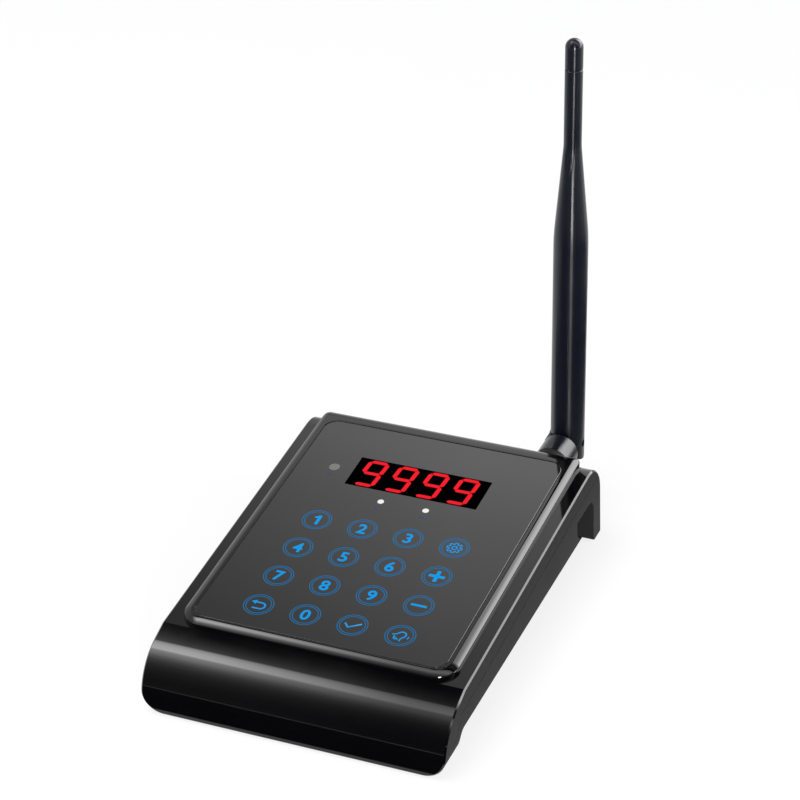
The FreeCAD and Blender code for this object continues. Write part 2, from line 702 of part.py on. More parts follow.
# ---------------------------------------------------------------- bezel and glass
def bezel():
    """Raised frame round the glass, with a rolled rear and a skirt into the deck."""
    body = new_body("panel_bezel", "panel")
    side = new_sketch(body, "YZ", "-bezel_width / 2")
    outline(side, [
        ("-bezel_front", "-ledge_drop - rear_roll"),
        ("bezel_rear", "-ledge_drop - rear_roll"),
        ("bezel_rear", "-bezel_roll", "bezel_roll", "left"),
        ("bezel_rear - bezel_roll", "0"),
        ("-bezel_front", "0")])
    pad(body, side, "bezel_width")
    corners = new_sketch(body, "XY", "1")
    for mirror in ("", "-"):
        outline(corners, [
            (mirror + "(bezel_width / 2 - bezel_corner)", "-bezel_front", "bezel_corner",
             "right" if mirror else "left"),
            (mirror + "(bezel_width / 2)", "-bezel_front + bezel_corner"),
            (mirror + "(bezel_width / 2 + 5)", "-bezel_front + bezel_corner"),
            (mirror + "(bezel_width / 2 + 5)", "-bezel_front - 5"),
            (mirror + "(bezel_width / 2 - bezel_corner)", "-bezel_front - 5")])
    pocket(body, corners, "ledge_drop + rear_roll + 5")
    half = value("bezel_width / 2")

    def crown(edge):
        """Upper outer edges, from the rear roll round the front."""
        box = edge.BoundBox
        flat = box.ZMax > -1e-4 and box.ZLength < 1e-4
        rear = abs(edge.Vertexes[0].Y - value("bezel_rear - bezel_roll")) < 1e-3
        across = box.XLength > half
        behind = box.YMin > value("bezel_rear - bezel_roll") - 1e-3
        roll = box.XLength < 1e-4 and behind and box.YMax > value("bezel_rear") - 1e-3
        return (flat and not (across and rear)) or roll
    fillet(body, "bezel_crown", crown)
    under = new_sketch(body, "YZ", "-bezel_width / 2 - 1")
    past = "(bezel_rear + 0.5)"
    roll_n = "(-ledge_drop - rear_roll)"
    outline(under, [
        ("-bezel_front - 1", "-ledge_drop"), ("-bezel_front - 1", roll_n + " - 1"),
        (past, roll_n + " - 1"),
        (past, roll_n + " + sqrt(rear_roll^2 - (%s - roll_v)^2)" % past, "rear_roll", "left"),
        ("roll_v", "-ledge_drop")])
    pocket(body, under, "bezel_width + 2", against=True)
    rear = new_sketch(body, "XY", "1")
    for mirror in ("", "-"):
        outline(rear, [
            (mirror + "(bezel_width / 2)", "bezel_rear - bezel_rear_corner",
             "bezel_rear_corner", "right" if mirror else "left"),
            (mirror + "(bezel_width / 2 - bezel_rear_corner)", "bezel_rear"),
            (mirror + "(bezel_width / 2 - bezel_rear_corner)", "bezel_rear + 5"),
            (mirror + "(bezel_width / 2 + 5)", "bezel_rear + 5"),
            (mirror + "(bezel_width / 2 + 5)", "bezel_rear - bezel_rear_corner")])
    pocket(body, rear, "ledge_drop + rear_roll + 5")
    skirt = new_sketch(body, "XY", "-ledge_drop / 2")
    rounded_rectangle(skirt, "-skirt_half", "skirt_half", "-skirt_front", "skirt_rear - fit_gap",
                      "bezel_corner - bezel_rim")
    pad(body, skirt, "bezel_flange_depth - ledge_drop / 2", against=True)
    recess = new_sketch(body, "XY", "1")
    rounded_rectangle(recess, "-recess_half", "recess_half", "-glass_front - glass_gap",
                      "glass_rear + glass_gap", "glass_corner + glass_gap")
    pocket(body, recess, "1 + flange_top")
    opening = new_sketch(body, "XY", "1")
    rectangle(opening, "-recess_half + bezel_flange", "recess_half - bezel_flange",
              "-glass_front + bezel_flange", "skirt_rear - fit_gap - bezel_flange")
    pocket(body, opening, "bezel_flange_depth + 5")
    return body


def touch_glass():
    body = new_body("touch_glass", "panel")
    slab(body, "-glass_width / 2", "glass_width / 2", "-glass_front", "glass_rear", "0",
         "glass_thickness", "glass_corner")
    return body


def glass_adhesive():
    """Foam-tape frame between the glass and the bezel's flange."""
    body = new_body("glass_adhesive", "panel")
    slab(body, "-glass_width / 2", "glass_width / 2", "-glass_front",
         "skirt_rear - fit_gap", "-glass_thickness", "adhesive", "glass_corner")
    inside = new_sketch(body, "XY", "0")
    rectangle(inside, "-recess_half + bezel_flange", "recess_half - bezel_flange",
              "-glass_front + bezel_flange", "skirt_rear - fit_gap - bezel_flange")
    pocket(body, inside, "flange_top + 1")
    return body


# ---------------------------------------------------------------- keys
def key_places():
    """Middles of the sixteen keys, as pairs of formulas."""
    steps = ("-1.5", "-0.5", "0.5", "1.5")
    return [("key_step_x * (%s)" % a, "key_step_y * (%s)" % b) for b in steps for a in steps]


def touch_sensor():
    body = new_body("touch_sensor", "panel")
    slab(body, "-key_field_width / 2", "key_field_width / 2", "-key_field_front + 2",
         "key_field_rear", "-glass_thickness", "sensor_film")
    return body


def light_baffle():
    """Block of light wells, one under each key."""
    body = new_body("light_baffle", "panel")
    slab(body, "-key_field_width / 2", "key_field_width / 2", "-key_field_front + 2",
         "key_field_rear", "-glass_thickness - sensor_film",
         "key_board_top - glass_thickness - sensor_film")
    wells = new_sketch(body, "XY", "0")
    for x, y in key_places():
        rectangle(wells, x + " - key_well / 2", x + " + key_well / 2",
                  y + " - key_well / 2", y + " + key_well / 2")
    pocket(body, wells, "key_board_top + 1")
    return body


def key_board():
    body = new_body("key_board", "panel")
    slab(body, "-key_board_width / 2", "key_board_width / 2", "-key_field_front - 2",
         "key_board_rear", "-key_board_top", "board")
    return body


def key_leds():
    body = new_body("key_leds", "panel")
    lamps = new_sketch(body, "XY", "-key_board_top")
    for x, y in key_places():
        rectangle(lamps, x + " - key_led", x + " + key_led",
                  y + " - key_led / 2", y + " + key_led / 2")
    pad(body, lamps, "key_led_height")
    return body


# ---------------------------------------------------------------- display and indicators
def display_filter():
    body = new_body("display_filter", "panel")
    slab(body, "-window_width / 2", "window_width / 2", "display_middle - window_height / 2",
         "display_middle + window_height / 2", "-glass_thickness", "filter")
    return body


def segment_outlines(sketch, grow):
    """Seven bars of the first digit, grown all round."""
    half = "(segment / 2 + %s)" % grow
    gap = "(segment_gap - %s)" % grow
    wide = "(digit_width / 2 - segment / 2)"
    tall = "(digit_height / 2 - segment / 2)"
    x = "digit_step * -1.5"
    for level in ("-1", "0", "1"):
        y = "display_middle + (%s) * %s" % (level, tall)
        left, right = "%s - %s + %s" % (x, wide, gap), "%s + %s - %s" % (x, wide, gap)
        outline(sketch, [
            (left, y), (left + " + " + half, y + " - " + half),
            (right + " - " + half, y + " - " + half), (right, y),
            (right + " - " + half, y + " + " + half),
            (left + " + " + half, y + " + " + half)])
    for side in ("-1", "1"):
        for level in ("-1", "1"):
            bar = "%s + (%s) * %s" % (x, side, wide)
            low = "display_middle + (%s - 1) * %s / 2 + %s" % (level, tall, gap)
            high = "display_middle + (%s + 1) * %s / 2 - %s" % (level, tall, gap)
            outline(sketch, [
                (bar, low), (bar + " + " + half, low + " + " + half),
                (bar + " + " + half, high + " - " + half), (bar, high),
                (bar + " - " + half, high + " - " + half),
                (bar + " - " + half, low + " + " + half)])


def repeat(body, feature, sketch, axis, length, count):
    """Repeat a feature in a row along one of its sketch's axes."""
    pattern = body.newObject("PartDesign::LinearPattern", body.Name + "_row")
    pattern.Originals = [feature]
    pattern.Direction = (sketch, [axis])
    pattern.setExpression("Length", expand(length))
    pattern.Occurrences = count
    body.Tip = pattern
    DOC.recompute()
    return pattern


def display_module():
    """Four-digit block; its bars sit in pockets in the face."""
    body = new_body("display_module", "panel")
    slab(body, "-display_width / 2", "display_width / 2",
         "display_middle - display_height / 2", "display_middle + display_height / 2",
         "-display_top", "display_depth")
    bars = new_sketch(body, "XY", "-display_top")
    segment_outlines(bars, "0")
    cut = pocket(body, bars, "segment_depth")
    repeat(body, cut, bars, "H_Axis", "digit_step * 3", 4)
    return body


def digit_segments():
    body = new_body("digit_segments", "panel")
    bars = new_sketch(body, "XY", "-display_top - segment_depth")
    segment_outlines(bars, "-0.02")
    digit = pad(body, bars, "segment_depth")
    repeat(body, digit, bars, "H_Axis", "digit_step * 3", 4)
    return body


def display_pins():
    """Two rows of six pins between the display block and the main board."""
    body = new_body("display_pins", "panel")
    pins = new_sketch(body, "XY", "-display_bottom")
    for side in ("-1", "1"):
        y = "display_middle + (%s) * pin_row / 2" % side
        for step in ("-2.5", "-1.5", "-0.5", "0.5", "1.5", "2.5"):
            x = "pin_step * (%s)" % step
            rectangle(pins, x + " - pin / 2", x + " + pin / 2", y + " - pin / 2",
                      y + " + pin / 2")
    pad(body, pins, "main_board_depth - (display_bottom)", against=True)
    return body


def indicator_pipes():
    """Two light pipes that carry the indicators' light up to the glass."""
    body = new_body("indicator_pipes", "panel")
    pipes = new_sketch(body, "XY", "-glass_thickness")
    for side in ("-", ""):
        hexagon(pipes, side + "lamp_x", "lamp_y", "lamp_radius * 2 * cos(30)")
    pad(body, pipes, "main_board_depth - glass_thickness - key_led_height", against=True)
    return body


def indicator_leds():
    body = new_body("indicator_leds", "panel")
    lamps = new_sketch(body, "XY", "-main_board_depth")
    for side in ("-", ""):
        rectangle(lamps, side + "lamp_x - key_led", side + "lamp_x + key_led",
                  "lamp_y - key_led / 2", "lamp_y + key_led / 2")
    pad(body, lamps, "key_led_height")
    return body


def light_sensor():
    """Light sensor in a tube that stands on the main board under the glass."""
    body = new_body("light_sensor", "panel")
    tube = new_sketch(body, "XY", "-glass_thickness")
    circle(tube, "-light_sensor_x", "light_sensor_y", "light_sensor_radius")
    pad(body, tube, "main_board_depth - glass_thickness", against=True)
    return body


# ---------------------------------------------------------------- main board
def main_board():
    body = new_body("main_board", "panel")
    slab(body, "-main_board_width / 2", "main_board_width / 2", "-main_board_front",
         "main_board_rear", "-main_board_depth", "board")
    holes = new_sketch(body, "XY", "0")
    for x in ("-post_x", "post_x"):
        for y in ("-post_front", "post_rear"):
            hexagon(holes, x, post_v(y), "board_screw * 2 + 0.4")
    pocket(body, holes, "main_board_bottom + 1")
    return body


def post_v(y):
    """Place up the slope, at the main board, of a point given in the level frame."""
    return "((%s) - (main_board_bottom) * sin(tilt)) / cos(tilt)" % y


def board_screws():
    body = new_body("board_screws", "panel")
    heads = new_sketch(body, "XY", "-main_board_depth")
    shanks = new_sketch(body, "XY", "-main_board_depth")
    for x in ("-post_x", "post_x"):
        for y in ("-post_front", "post_rear"):
            hexagon(heads, x, post_v(y), "board_screw * 4")
            hexagon(shanks, x, post_v(y), "board_screw * 2 - 0.3")
    pad(body, heads, "board_screw")
    pad(body, shanks, "board + 1.2", against=True)
    return body


def board_chips():
    """Processor, display driver, regulator and crystal on the main board."""
    body = new_body("board_chips", "panel")
    chips = (("-chip * 0.67", "chip / 3", "chip", "chip", "chip * 0.12"),
             ("-chip * 0.67", "chip * 3", "chip * 1.2", "chip * 0.65", "chip * 0.15"),
             ("-chip * 2.8", "chip * 0.8", "chip * 0.6", "chip * 0.6", "chip * 0.18"),
             ("chip", "chip / 6", "chip * 0.65", "chip * 0.3", "chip * 0.1"))
    for x, y, length, width, tall in chips:
        sketch = new_sketch(body, "XY", "-main_board_depth")
        rectangle(sketch, "%s - %s / 2" % (x, length), "%s + %s / 2" % (x, length),
                  "%s - %s / 2" % (y, width), "%s + %s / 2" % (y, width))
        pad(body, sketch, tall)
    return body


def board_header():
    """Header that joins the key board to the main board."""
    body = new_body("board_header", "panel")
    slab(body, "-header_x - header_length / 2", "-header_x + header_length / 2",
         "-header_y - header_width / 2", "-header_y + header_width / 2",
         "-key_board_bottom", "main_board_depth - (key_board_bottom)")
    return body


def radio_module():
    body = new_body("radio_module", "panel")
    slab(body, "radio_x - radio_length / 2", "radio_x + radio_length / 2",
         "radio_y - radio_width / 2", "radio_y + radio_width / 2",
         "-main_board_depth + 1", "1")
    return body


def radio_can():
    """Folded shield can over the radio module, open below."""
    body = new_body("radio_can", "panel")
    x_half = "(radio_length / 2 - can_margin)"
    y_half = "(radio_width / 2 - can_margin)"
    slab(body, "radio_x - " + x_half, "radio_x + " + x_half, "radio_y - " + y_half,
         "radio_y + " + y_half, "-main_board_depth + 1 + can_height", "can_height")
    inside = new_sketch(body, "XY", "-main_board_depth + 1")
    rectangle(inside, "radio_x - %s + can_wall" % x_half, "radio_x + %s - can_wall" % x_half,
              "radio_y - %s + can_wall" % y_half, "radio_y + %s - can_wall" % y_half)
    pocket(body, inside, "can_height - can_wall", against=True)
    return body


def buzzer():
    body = new_body("buzzer", "panel")
    can = new_sketch(body, "XY", "-main_board_depth")
    circle(can, "buzzer_x", "buzzer_y", "buzzer_radius")
    pad(body, can, "buzzer_height")
    vent = new_sketch(body, "XY", "-main_board_depth + buzzer_height")
    circle(vent, "buzzer_x", "buzzer_y", "1")
    pocket(body, vent, "1.5")
    return body


def power_jack():
    """Barrel inlet on the floor, its mouth in the cable tunnel's wall."""
    body = new_body("power_jack", "level")
    block = new_sketch(body, "XZ", "-tunnel_front")
    rectangle(block, "-jack_x - jack_width / 2", "-jack_x + jack_width / 2",
              "floor_top", "floor_top + jack_height")
    pad(body, block, "jack_length")
    mouth = new_sketch(body, "XZ", "-tunnel_front")
    circle(mouth, "-jack_x", "floor_top + jack_height / 2", "jack_bore")
    pocket(body, mouth, "jack_bore_depth", against=True)
    pin = new_sketch(body, "XZ", "-tunnel_front + 1")
    circle(pin, "-jack_x", "floor_top + jack_height / 2", "jack_pin")
    pad(body, pin, "jack_bore_depth")
    return body


# ---------------------------------------------------------------- antenna
def round_along_y(body, start, end, radius, kind="Pad"):
    """Cylinder, or bore, about the antenna's swivel axis between two places in y."""
    sketch = new_sketch(body, "XZ", "-(%s)" % end)
    circle(sketch, "antenna_x", "antenna_z", radius)
    if kind == "Pad":
        return pad(body, sketch, "(%s) - (%s)" % (end, start))
    return pocket(body, sketch, "(%s) - (%s)" % (end, start), against=True)


def antenna_bushing():
    """Threaded bushing through the rear wall, with its flange inside."""
    body = new_body("antenna_bushing", "level")
    round_along_y(body, "inner_rear - bushing_flange_length", "inner_rear", "bushing_flange")
    round_along_y(body, "inner_rear - bushing_flange_length", "bushing_end",
                  "bushing_radius")
    return body


def antenna_washer():
    body = new_body("antenna_washer", "level")
    round_along_y(body, "seat_face", "seat_face + washer", "nut_flats / 2 + 0.6")
    round_along_y(body, "seat_face - 1", "seat_face + washer + 1", "bushing_radius + 0.1",
                  "Pocket")
    return body


def antenna_nut():
    body = new_body("antenna_nut", "level")
    sketch = new_sketch(body, "XZ", "-(seat_face + washer + nut_thickness)")
    hexagon(sketch, "antenna_x", "antenna_z", "nut_flats")
    pad(body, sketch, "nut_thickness")
    round_along_y(body, "seat_face - 1", "seat_face + 10",
                  "bushing_radius + running_clearance", "Pocket")
    return body


def antenna_base():
    """Round base that turns on the bushing and carries the left half of the elbow."""
    body = new_body("antenna_base", "level")
    round_along_y(body, "base_front", "base_rear", "base_radius")
    knuckle = new_sketch(body, "YZ", "antenna_x - knuckle_half")
    neck_y = "antenna_y - sqrt(knuckle_radius^2 - neck_height^2)"
    outline(knuckle, [
        ("base_rear", "antenna_z - neck_height"),
        (neck_y, "antenna_z - neck_height", "knuckle_radius", "left"),
        ("antenna_y + knuckle_radius", "antenna_z", "knuckle_radius", "left"),
        (neck_y, "antenna_z + neck_height"),
        ("base_rear", "antenna_z + neck_height")])
    pad(body, knuckle, "knuckle_half - knuckle_gap")
    round_along_y(body, "base_front - 1", "base_front + base_nut_depth", "base_nut_radius",
                  "Pocket")
    round_along_y(body, "base_front - 1", "bushing_end + 0.4",
                  "bushing_radius + running_clearance", "Pocket")
    hole = new_sketch(body, "YZ", "antenna_x - knuckle_half * 2")
    circle(hole, "antenna_y", "antenna_z", "hinge_pin + 0.02")
    pocket(body, hole, "knuckle_half * 4", against=True)
    return body


def hinge_pin():
    body = new_body("hinge_pin", "level")
    sketch = new_sketch(body, "YZ", "antenna_x - hinge_pin_length / 2")
    circle(sketch, "antenna_y", "antenna_z", "hinge_pin")
    pad(body, sketch, "hinge_pin_length")
    return body


def antenna_blade():
    """Sleeve of the antenna: right half of the elbow, thick barrel, taper and stem."""
    body = new_body("antenna_blade", "blade")
    profile = new_sketch(body, "XZ")
    drop = "(blade_radius - stem_radius)"
    run = "(blade_taper_end - blade_taper_start)"
    taper = [("blade_radius - %s * %s" % (drop, down), "blade_taper_start + %s * %s" % (run, along))
             for down, along in (("0", "0"), ("0.12", "0.25"), ("0.88", "0.75"), ("1", "1"))]
    outline(profile, [("0", "-blade_radius"), ("blade_radius", "-blade_radius")] + taper
            + [("stem_radius", "stem_end"), ("0", "stem_end")])
    revolve(body, profile)
    cut = new_sketch(body, "YZ", "-blade_radius * 2")
    big = "blade_radius * 2"
    outline(cut, [("-(%s)" % big, "-(%s)" % big), (big, "-(%s)" % big), (big, "shoulder"),
                  ("-(%s)" % big, "shoulder")])
    pocket(body, cut, big + " + knuckle_gap", against=True)
    scoop = new_sketch(body, "YZ", "-blade_radius * 2")
    circle(scoop, "0", "0", "knuckle_radius + shoulder_gap")
    pocket(body, scoop, big + " + knuckle_gap", against=True)
    tongue = new_sketch(body, "YZ", "-1")
    outline(tongue, [
        ("-blade_radius", "0", "blade_radius", "left"),
        ("0", "-blade_radius"), ("0", "-blade_radius - 5"),
        ("-blade_radius - 5", "-blade_radius - 5"), ("-blade_radius - 5", "0")])
    outline(tongue, [
        ("0", "-blade_radius", "blade_radius", "left"),
        ("blade_radius", "0"), ("blade_radius + 5", "0"),
        ("blade_radius + 5", "-blade_radius - 5.001"), ("0", "-blade_radius - 5.001")])
    pocket(body, tongue, "blade_radius + 2", against=True)
    hole = new_sketch(body, "YZ", "-1")
    circle(hole, "0", "0", "hinge_pin + running_clearance")
    pocket(body, hole, "blade_radius + 2", against=True)
    bore = new_sketch(body, "XY", "stem_end + 1")
    circle(bore, "0", "0", "element_radius + element_gap")
    pocket(body, bore, "stem_end + 1 - element_start")
    mouth = new_sketch(body, "XY", "stem_end + 1")
    circle(mouth, "0", "0", "cap_spigot + 0.05")
    pocket(body, mouth, "1 + cap_spigot_length")
    return body


def antenna_element():
    """Radiating rod inside the sleeve."""
    body = new_body("antenna_element", "blade")
    sketch = new_sketch(body, "XY", "element_start")
    circle(sketch, "0", "0", "element_radius")
    pad(body, sketch, "stem_end - cap_spigot_length - element_start")
    return body


def antenna_cap():
    """Domed tip, pressed into the stem, with a fine groove under it."""
    body = new_body("antenna_cap", "blade")
    profile = new_sketch(body, "XZ")
    dome = "blade_length - stem_radius"
    outline(profile, [
        ("0", "stem_end - cap_spigot_length"), ("cap_spigot", "stem_end - cap_spigot_length"),
        ("cap_spigot", "stem_end"), ("stem_radius - cap_groove", "stem_end"),
        ("stem_radius - cap_groove", "stem_end + cap_groove"),
        ("stem_radius", "stem_end + cap_groove"), ("stem_radius", dome),
        ("stem_radius * cos(40)", dome + " + stem_radius * sin(40)"),
        ("0", "blade_length")])
    revolve(body, profile)
    return body


def antenna_lead():
    """Coax lead from the radio module to the bushing, straight runs joined by arcs."""
    lead = register(DOC.addObject("Part::Feature", "antenna_lead"), "antenna_lead")
    tilt = math.radians(value("tilt"))
    x = value("radio_x + radio_length / 2 - 1.5")
    y = value("radio_y + radio_width / 2 - can_margin")
    depth = value("main_board_depth - 1 - coax_radius") - 0.05
    shift = value("frame_shift")

    def level(u, v, n):
        return Vector(u, v * math.cos(tilt) - n * math.sin(tilt) + shift,
                      v * math.sin(tilt) + n * math.cos(tilt) + value("glass_height"))
    end = Vector(value("antenna_x"), value("inner_rear - bushing_flange_length") + shift,
                 value("antenna_z"))
    start = level(x, y + 0.3, -depth)
    route = [start, level(x, y + 12, -depth),
             Vector(value("antenna_x"), end.y - 16, end.z), end]
    edges = []
    last = route[0]
    for before, corner, after in zip(route, route[1:], route[2:]):
        inward, outward = corner - before, after - corner
        turn = inward.getAngle(outward)
        reach = 0.45 * min(inward.Length, outward.Length)
        first = corner - inward * (reach / inward.Length)
        final = corner + outward * (reach / outward.Length)
        bow = (first + final) * 0.5 - corner
        radius = reach / math.tan(turn / 2)
        centre = corner + bow * (math.hypot(reach, radius) / bow.Length)
        apex = centre + (corner - centre) * (radius / (corner - centre).Length)
        edges += [Part.makeLine(last, first), Part.Arc(first, apex, final).toShape()]
        last = final
    edges.append(Part.makeLine(last, route[-1]))
    path = Part.Wire(edges)
    ahead = (route[1] - route[0]).normalize()
    side = Vector(1, 0, 0) * value("coax_radius")
    turn = FreeCAD.Rotation(ahead, 60)
    ring = [side]
    for _ in range(6):
        ring.append(turn.multVec(ring[-1]))
    ring = Part.makePolygon([route[0] + spoke for spoke in ring])
    lead.Shape = path.makePipeShell([ring], True, False)
    return lead


# ---------------------------------------------------------------- build and export
BUILDERS = (
    deck_shell, bottom_cover, bezel, touch_glass, glass_adhesive, rubber_feet,
    housing_screws, touch_sensor, light_baffle, key_board, key_leds, display_filter,
    display_module, digit_segments, display_pins, indicator_pipes, indicator_leds,
    light_sensor, main_board, board_screws, board_chips, board_header, radio_module,
    radio_can, buzzer, power_jack, antenna_bushing, antenna_washer, antenna_nut,
    antenna_base, hinge_pin, antenna_blade, antenna_element, antenna_cap, antenna_lead,
)


def main():
    for build in BUILDERS:
        build()
    DOC.recompute()
    broken = [item.Name for item in DOC.Objects
              if {"Invalid", "Error"} & set(item.State)]
    if broken:
        raise RuntimeError("failed objects: " + ", ".join(broken))
    for part in PARTS:
        if part.Shape.isNull() or not part.Shape.isValid():
            raise RuntimeError("bad shape: " + part.Label)
    os.makedirs("parts", exist_ok=True)
    for part in PARTS:
        part.Shape.exportStep(os.path.join("parts", part.Label + ".step"))
        box = part.Shape.BoundBox
        print("%-16s solids %2d  volume %9.1f  box %s" % (
            part.Label, len(part.Shape.Solids), part.Shape.Volume,
            " ".join("%.1f" % side for side in (
                box.XMin, box.XMax, box.YMin, box.YMax, box.ZMin, box.ZMax))))


main()
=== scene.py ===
"""Guest paging console: the dressed model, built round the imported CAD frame.

Each sub-assembly is a class that holds its sizes in millimetres and has methods
that model its pieces and give them their finishes.
"""

from __future__ import annotations

import logging
import math
from contextlib import contextmanager
from dataclasses import dataclass, field
from enum import Enum
from typing import Any, Callable, Iterable, Iterator, Sequence

import bpy
from mathutils import Matrix, Vector

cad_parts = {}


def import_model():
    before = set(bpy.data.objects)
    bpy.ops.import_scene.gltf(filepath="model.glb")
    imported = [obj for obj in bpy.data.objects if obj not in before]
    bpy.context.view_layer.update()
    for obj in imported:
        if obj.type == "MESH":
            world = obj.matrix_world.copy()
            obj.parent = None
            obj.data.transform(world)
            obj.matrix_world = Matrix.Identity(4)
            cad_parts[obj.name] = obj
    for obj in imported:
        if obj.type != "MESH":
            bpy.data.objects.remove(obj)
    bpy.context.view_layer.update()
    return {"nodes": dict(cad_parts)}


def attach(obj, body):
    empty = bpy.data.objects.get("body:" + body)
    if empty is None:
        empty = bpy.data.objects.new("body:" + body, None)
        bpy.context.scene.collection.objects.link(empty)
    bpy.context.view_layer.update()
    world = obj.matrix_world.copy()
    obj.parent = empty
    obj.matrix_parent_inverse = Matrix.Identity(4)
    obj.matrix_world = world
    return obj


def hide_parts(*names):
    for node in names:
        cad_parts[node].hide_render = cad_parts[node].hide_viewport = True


LOG = logging.getLogger("console")
MM = 0.001
PATCH_MM = 24  # size of the patches over which a surface's colour and gloss drift
NOISE_SPAN = (0.35, 0.65)  # most values of a noise pattern lie between these
DIGIT_SHARE = 0.73  # height of a digit as a share of the built-in font's size
DOUBLE_MM = 0.002  # points closer than this are one point
WELD_MM = 0.0005  # corners of a node's triangles closer than this are one corner
FLUSH = 0.05  # faces that meet at fewer degrees than this are one face
TINY_MM = 0.001  # what counts as no distance at all
CREASE = 50.0  # edges sharper than this many degrees stay sharp
FACING = 0.9  # a face whose normal has more than this along an axis faces that way
WHITE = "ffffff"
Band = tuple[tuple[float, float], tuple[float, float]]  # two places, and a level at each


class Body(Enum):
    """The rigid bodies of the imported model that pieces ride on."""

    CONSOLE = "console"
    SWIVEL = "antenna_swivel_body"
    BLADE = "antenna_blade_body"


class Grain(Enum):
    """How a surface was made, which decides the pattern its material carries."""

    POLISHED = "polished"
    MOULDED = "moulded"
    BRUSHED = "brushed"
    TURNED = "turned"


# ---------------------------------------------------------------------- materials
def srgb(code: str) -> tuple[float, float, float, float]:
    """Turn an sRGB hex colour into a linear one.

    Args:
        code: six hex digits, such as "1a2b3c".

    Returns:
        Linear red, green and blue, with alpha 1.
    """
    parts = [int(code[i : i + 2], 16) / 255 for i in (0, 2, 4)]
    linear = [p / 12.92 if p <= 0.04045 else ((p + 0.055) / 1.055) ** 2.4 for p in parts]
    return linear[0], linear[1], linear[2], 1.0


def add_node(
    tree: bpy.types.NodeTree,
    kind: str,
    settings: dict[Any, Any] | None = None,
    links: dict[Any, bpy.types.NodeSocket] | None = None,
) -> bpy.types.Node:
    """Add a shader node with its settings and its links.

    Args:
        tree: the node tree that gets the node.
        kind: the node's type name.
        settings: values by property name, input name or input number.
        links: output sockets by the name or number of the input they feed.

    Returns:
        The new node.
    """
    node = tree.nodes.new(kind)
    for key, setting in (settings or {}).items():
        if isinstance(key, int) or key in node.inputs:
            node.inputs[key].default_value = setting
        else:
            setattr(node, key, setting)
    for key, output in (links or {}).items():
        tree.links.new(output, node.inputs[key])
    return node


@dataclass(frozen=True)
class Finish:
    """One real material with the surface that its making gave it.

    Attributes:
        name: what the material is.
        colour: sRGB hex of the material in plain light.
        roughness: mean roughness of the surface.
        ior: refractive index; a metal keeps the default.
        metallic: 1 for bare metal.
        grain: how the surface was made.
        grain_mm: size of the surface texture.
        depth_mm: height of the surface texture.
        drift: how far roughness wanders over the surface.
        shade: sRGB hex that patches of the surface drift towards.
        glow: sRGB hex of its own light, if lit from behind.
        glow_strength: strength of that light.
        shine: share of the usual reflection, 0.5 being the plain one.
    """

    name: str
    colour: str
    roughness: float
    ior: float = 1.5
    metallic: float = 0.0
    grain: Grain = Grain.MOULDED
    grain_mm: float = 0.3
    depth_mm: float = 0.0
    drift: float = 0.05
    shade: str = ""
    glow: str = ""
    glow_strength: float = 0.0
    shine: float = 0.5

    def material(self) -> bpy.types.Material:
        """Find the finish's Blender material, or build it on first use.

        Returns:
            The material.
        """
        made = bpy.data.materials.get(self.name)
        if made is not None:
            return made
        made = bpy.data.materials.new(self.name)
        made.use_nodes = True
        tree = made.node_tree
        tree.nodes.clear()
        place = add_node(tree, "ShaderNodeTexCoord").outputs["Object"]
        patches = add_node(
            tree, "ShaderNodeTexNoise",
            {"Scale": 1 / (PATCH_MM * MM), "Detail": 3.0, "Roughness": 0.55},
            {"Vector": place},
        ).outputs["Fac"]
        rough = add_node(
            tree, "ShaderNodeMapRange",
            {"From Min": NOISE_SPAN[0], "From Max": NOISE_SPAN[1],
             "To Min": max(self.roughness - self.drift / 2, 0.0),
             "To Max": min(self.roughness + self.drift / 2, 1.0)},
            {"Value": patches},
        ).outputs["Result"]
        base = add_node(
            tree, "ShaderNodeMix",
            {"data_type": "RGBA", 6: srgb(self.colour), 7: srgb(self.shade or self.colour)},
            {0: patches},
        ).outputs[2]
        settings: dict[Any, Any] = {
            "Metallic": self.metallic, "IOR": self.ior, "Specular IOR Level": self.shine,
        }
        if self.glow:
            settings["Emission Color"] = srgb(self.glow)
            settings["Emission Strength"] = self.glow_strength
        links = {"Base Color": base, "Roughness": rough}
        if self.depth_mm > 0:
            links["Normal"] = self._texture(tree, place)
        if self.grain is Grain.TURNED:
            settings.update({"Anisotropic": 0.85, "Anisotropic Rotation": 0.25})
            links["Tangent"] = add_node(
                tree, "ShaderNodeTangent", {"direction_type": "RADIAL", "axis": "Z"}
            ).outputs["Tangent"]
        shader = add_node(tree, "ShaderNodeBsdfPrincipled", settings, links)
        add_node(tree, "ShaderNodeOutputMaterial", links={"Surface": shader.outputs["BSDF"]})
        return made

    def _texture(
        self, tree: bpy.types.NodeTree, place: bpy.types.NodeSocket
    ) -> bpy.types.NodeSocket:
        """Add the fine surface texture.

        Args:
            tree: the material's node tree.
            place: socket with the object coordinates.

        Returns:
            Normal socket that carries the texture.
        """
        # A drawn grain is twenty times as long as it is wide.
        along = 0.05 if self.grain is Grain.BRUSHED else 1.0
        mapped = add_node(
            tree, "ShaderNodeMapping", {"Scale": (along, 1.0, 1.0)}, {"Vector": place}
        ).outputs["Vector"]
        height = add_node(
            tree, "ShaderNodeTexNoise",
            {"Scale": 1 / (self.grain_mm * MM), "Detail": 2.0, "Roughness": 0.6},
            {"Vector": mapped},
        ).outputs["Fac"]
        return add_node(
            tree, "ShaderNodeBump",
            {"Strength": 1.0, "Distance": self.depth_mm * MM}, {"Height": height},
        ).outputs["Normal"]


# Injection-moulded ABS from a mirror-polished tool: deep black with clear reflections.
PIANO_BLACK = Finish("polished black ABS", "030304", 0.05, 1.45, drift=0.03,
                     grain=Grain.POLISHED, shade="050506")
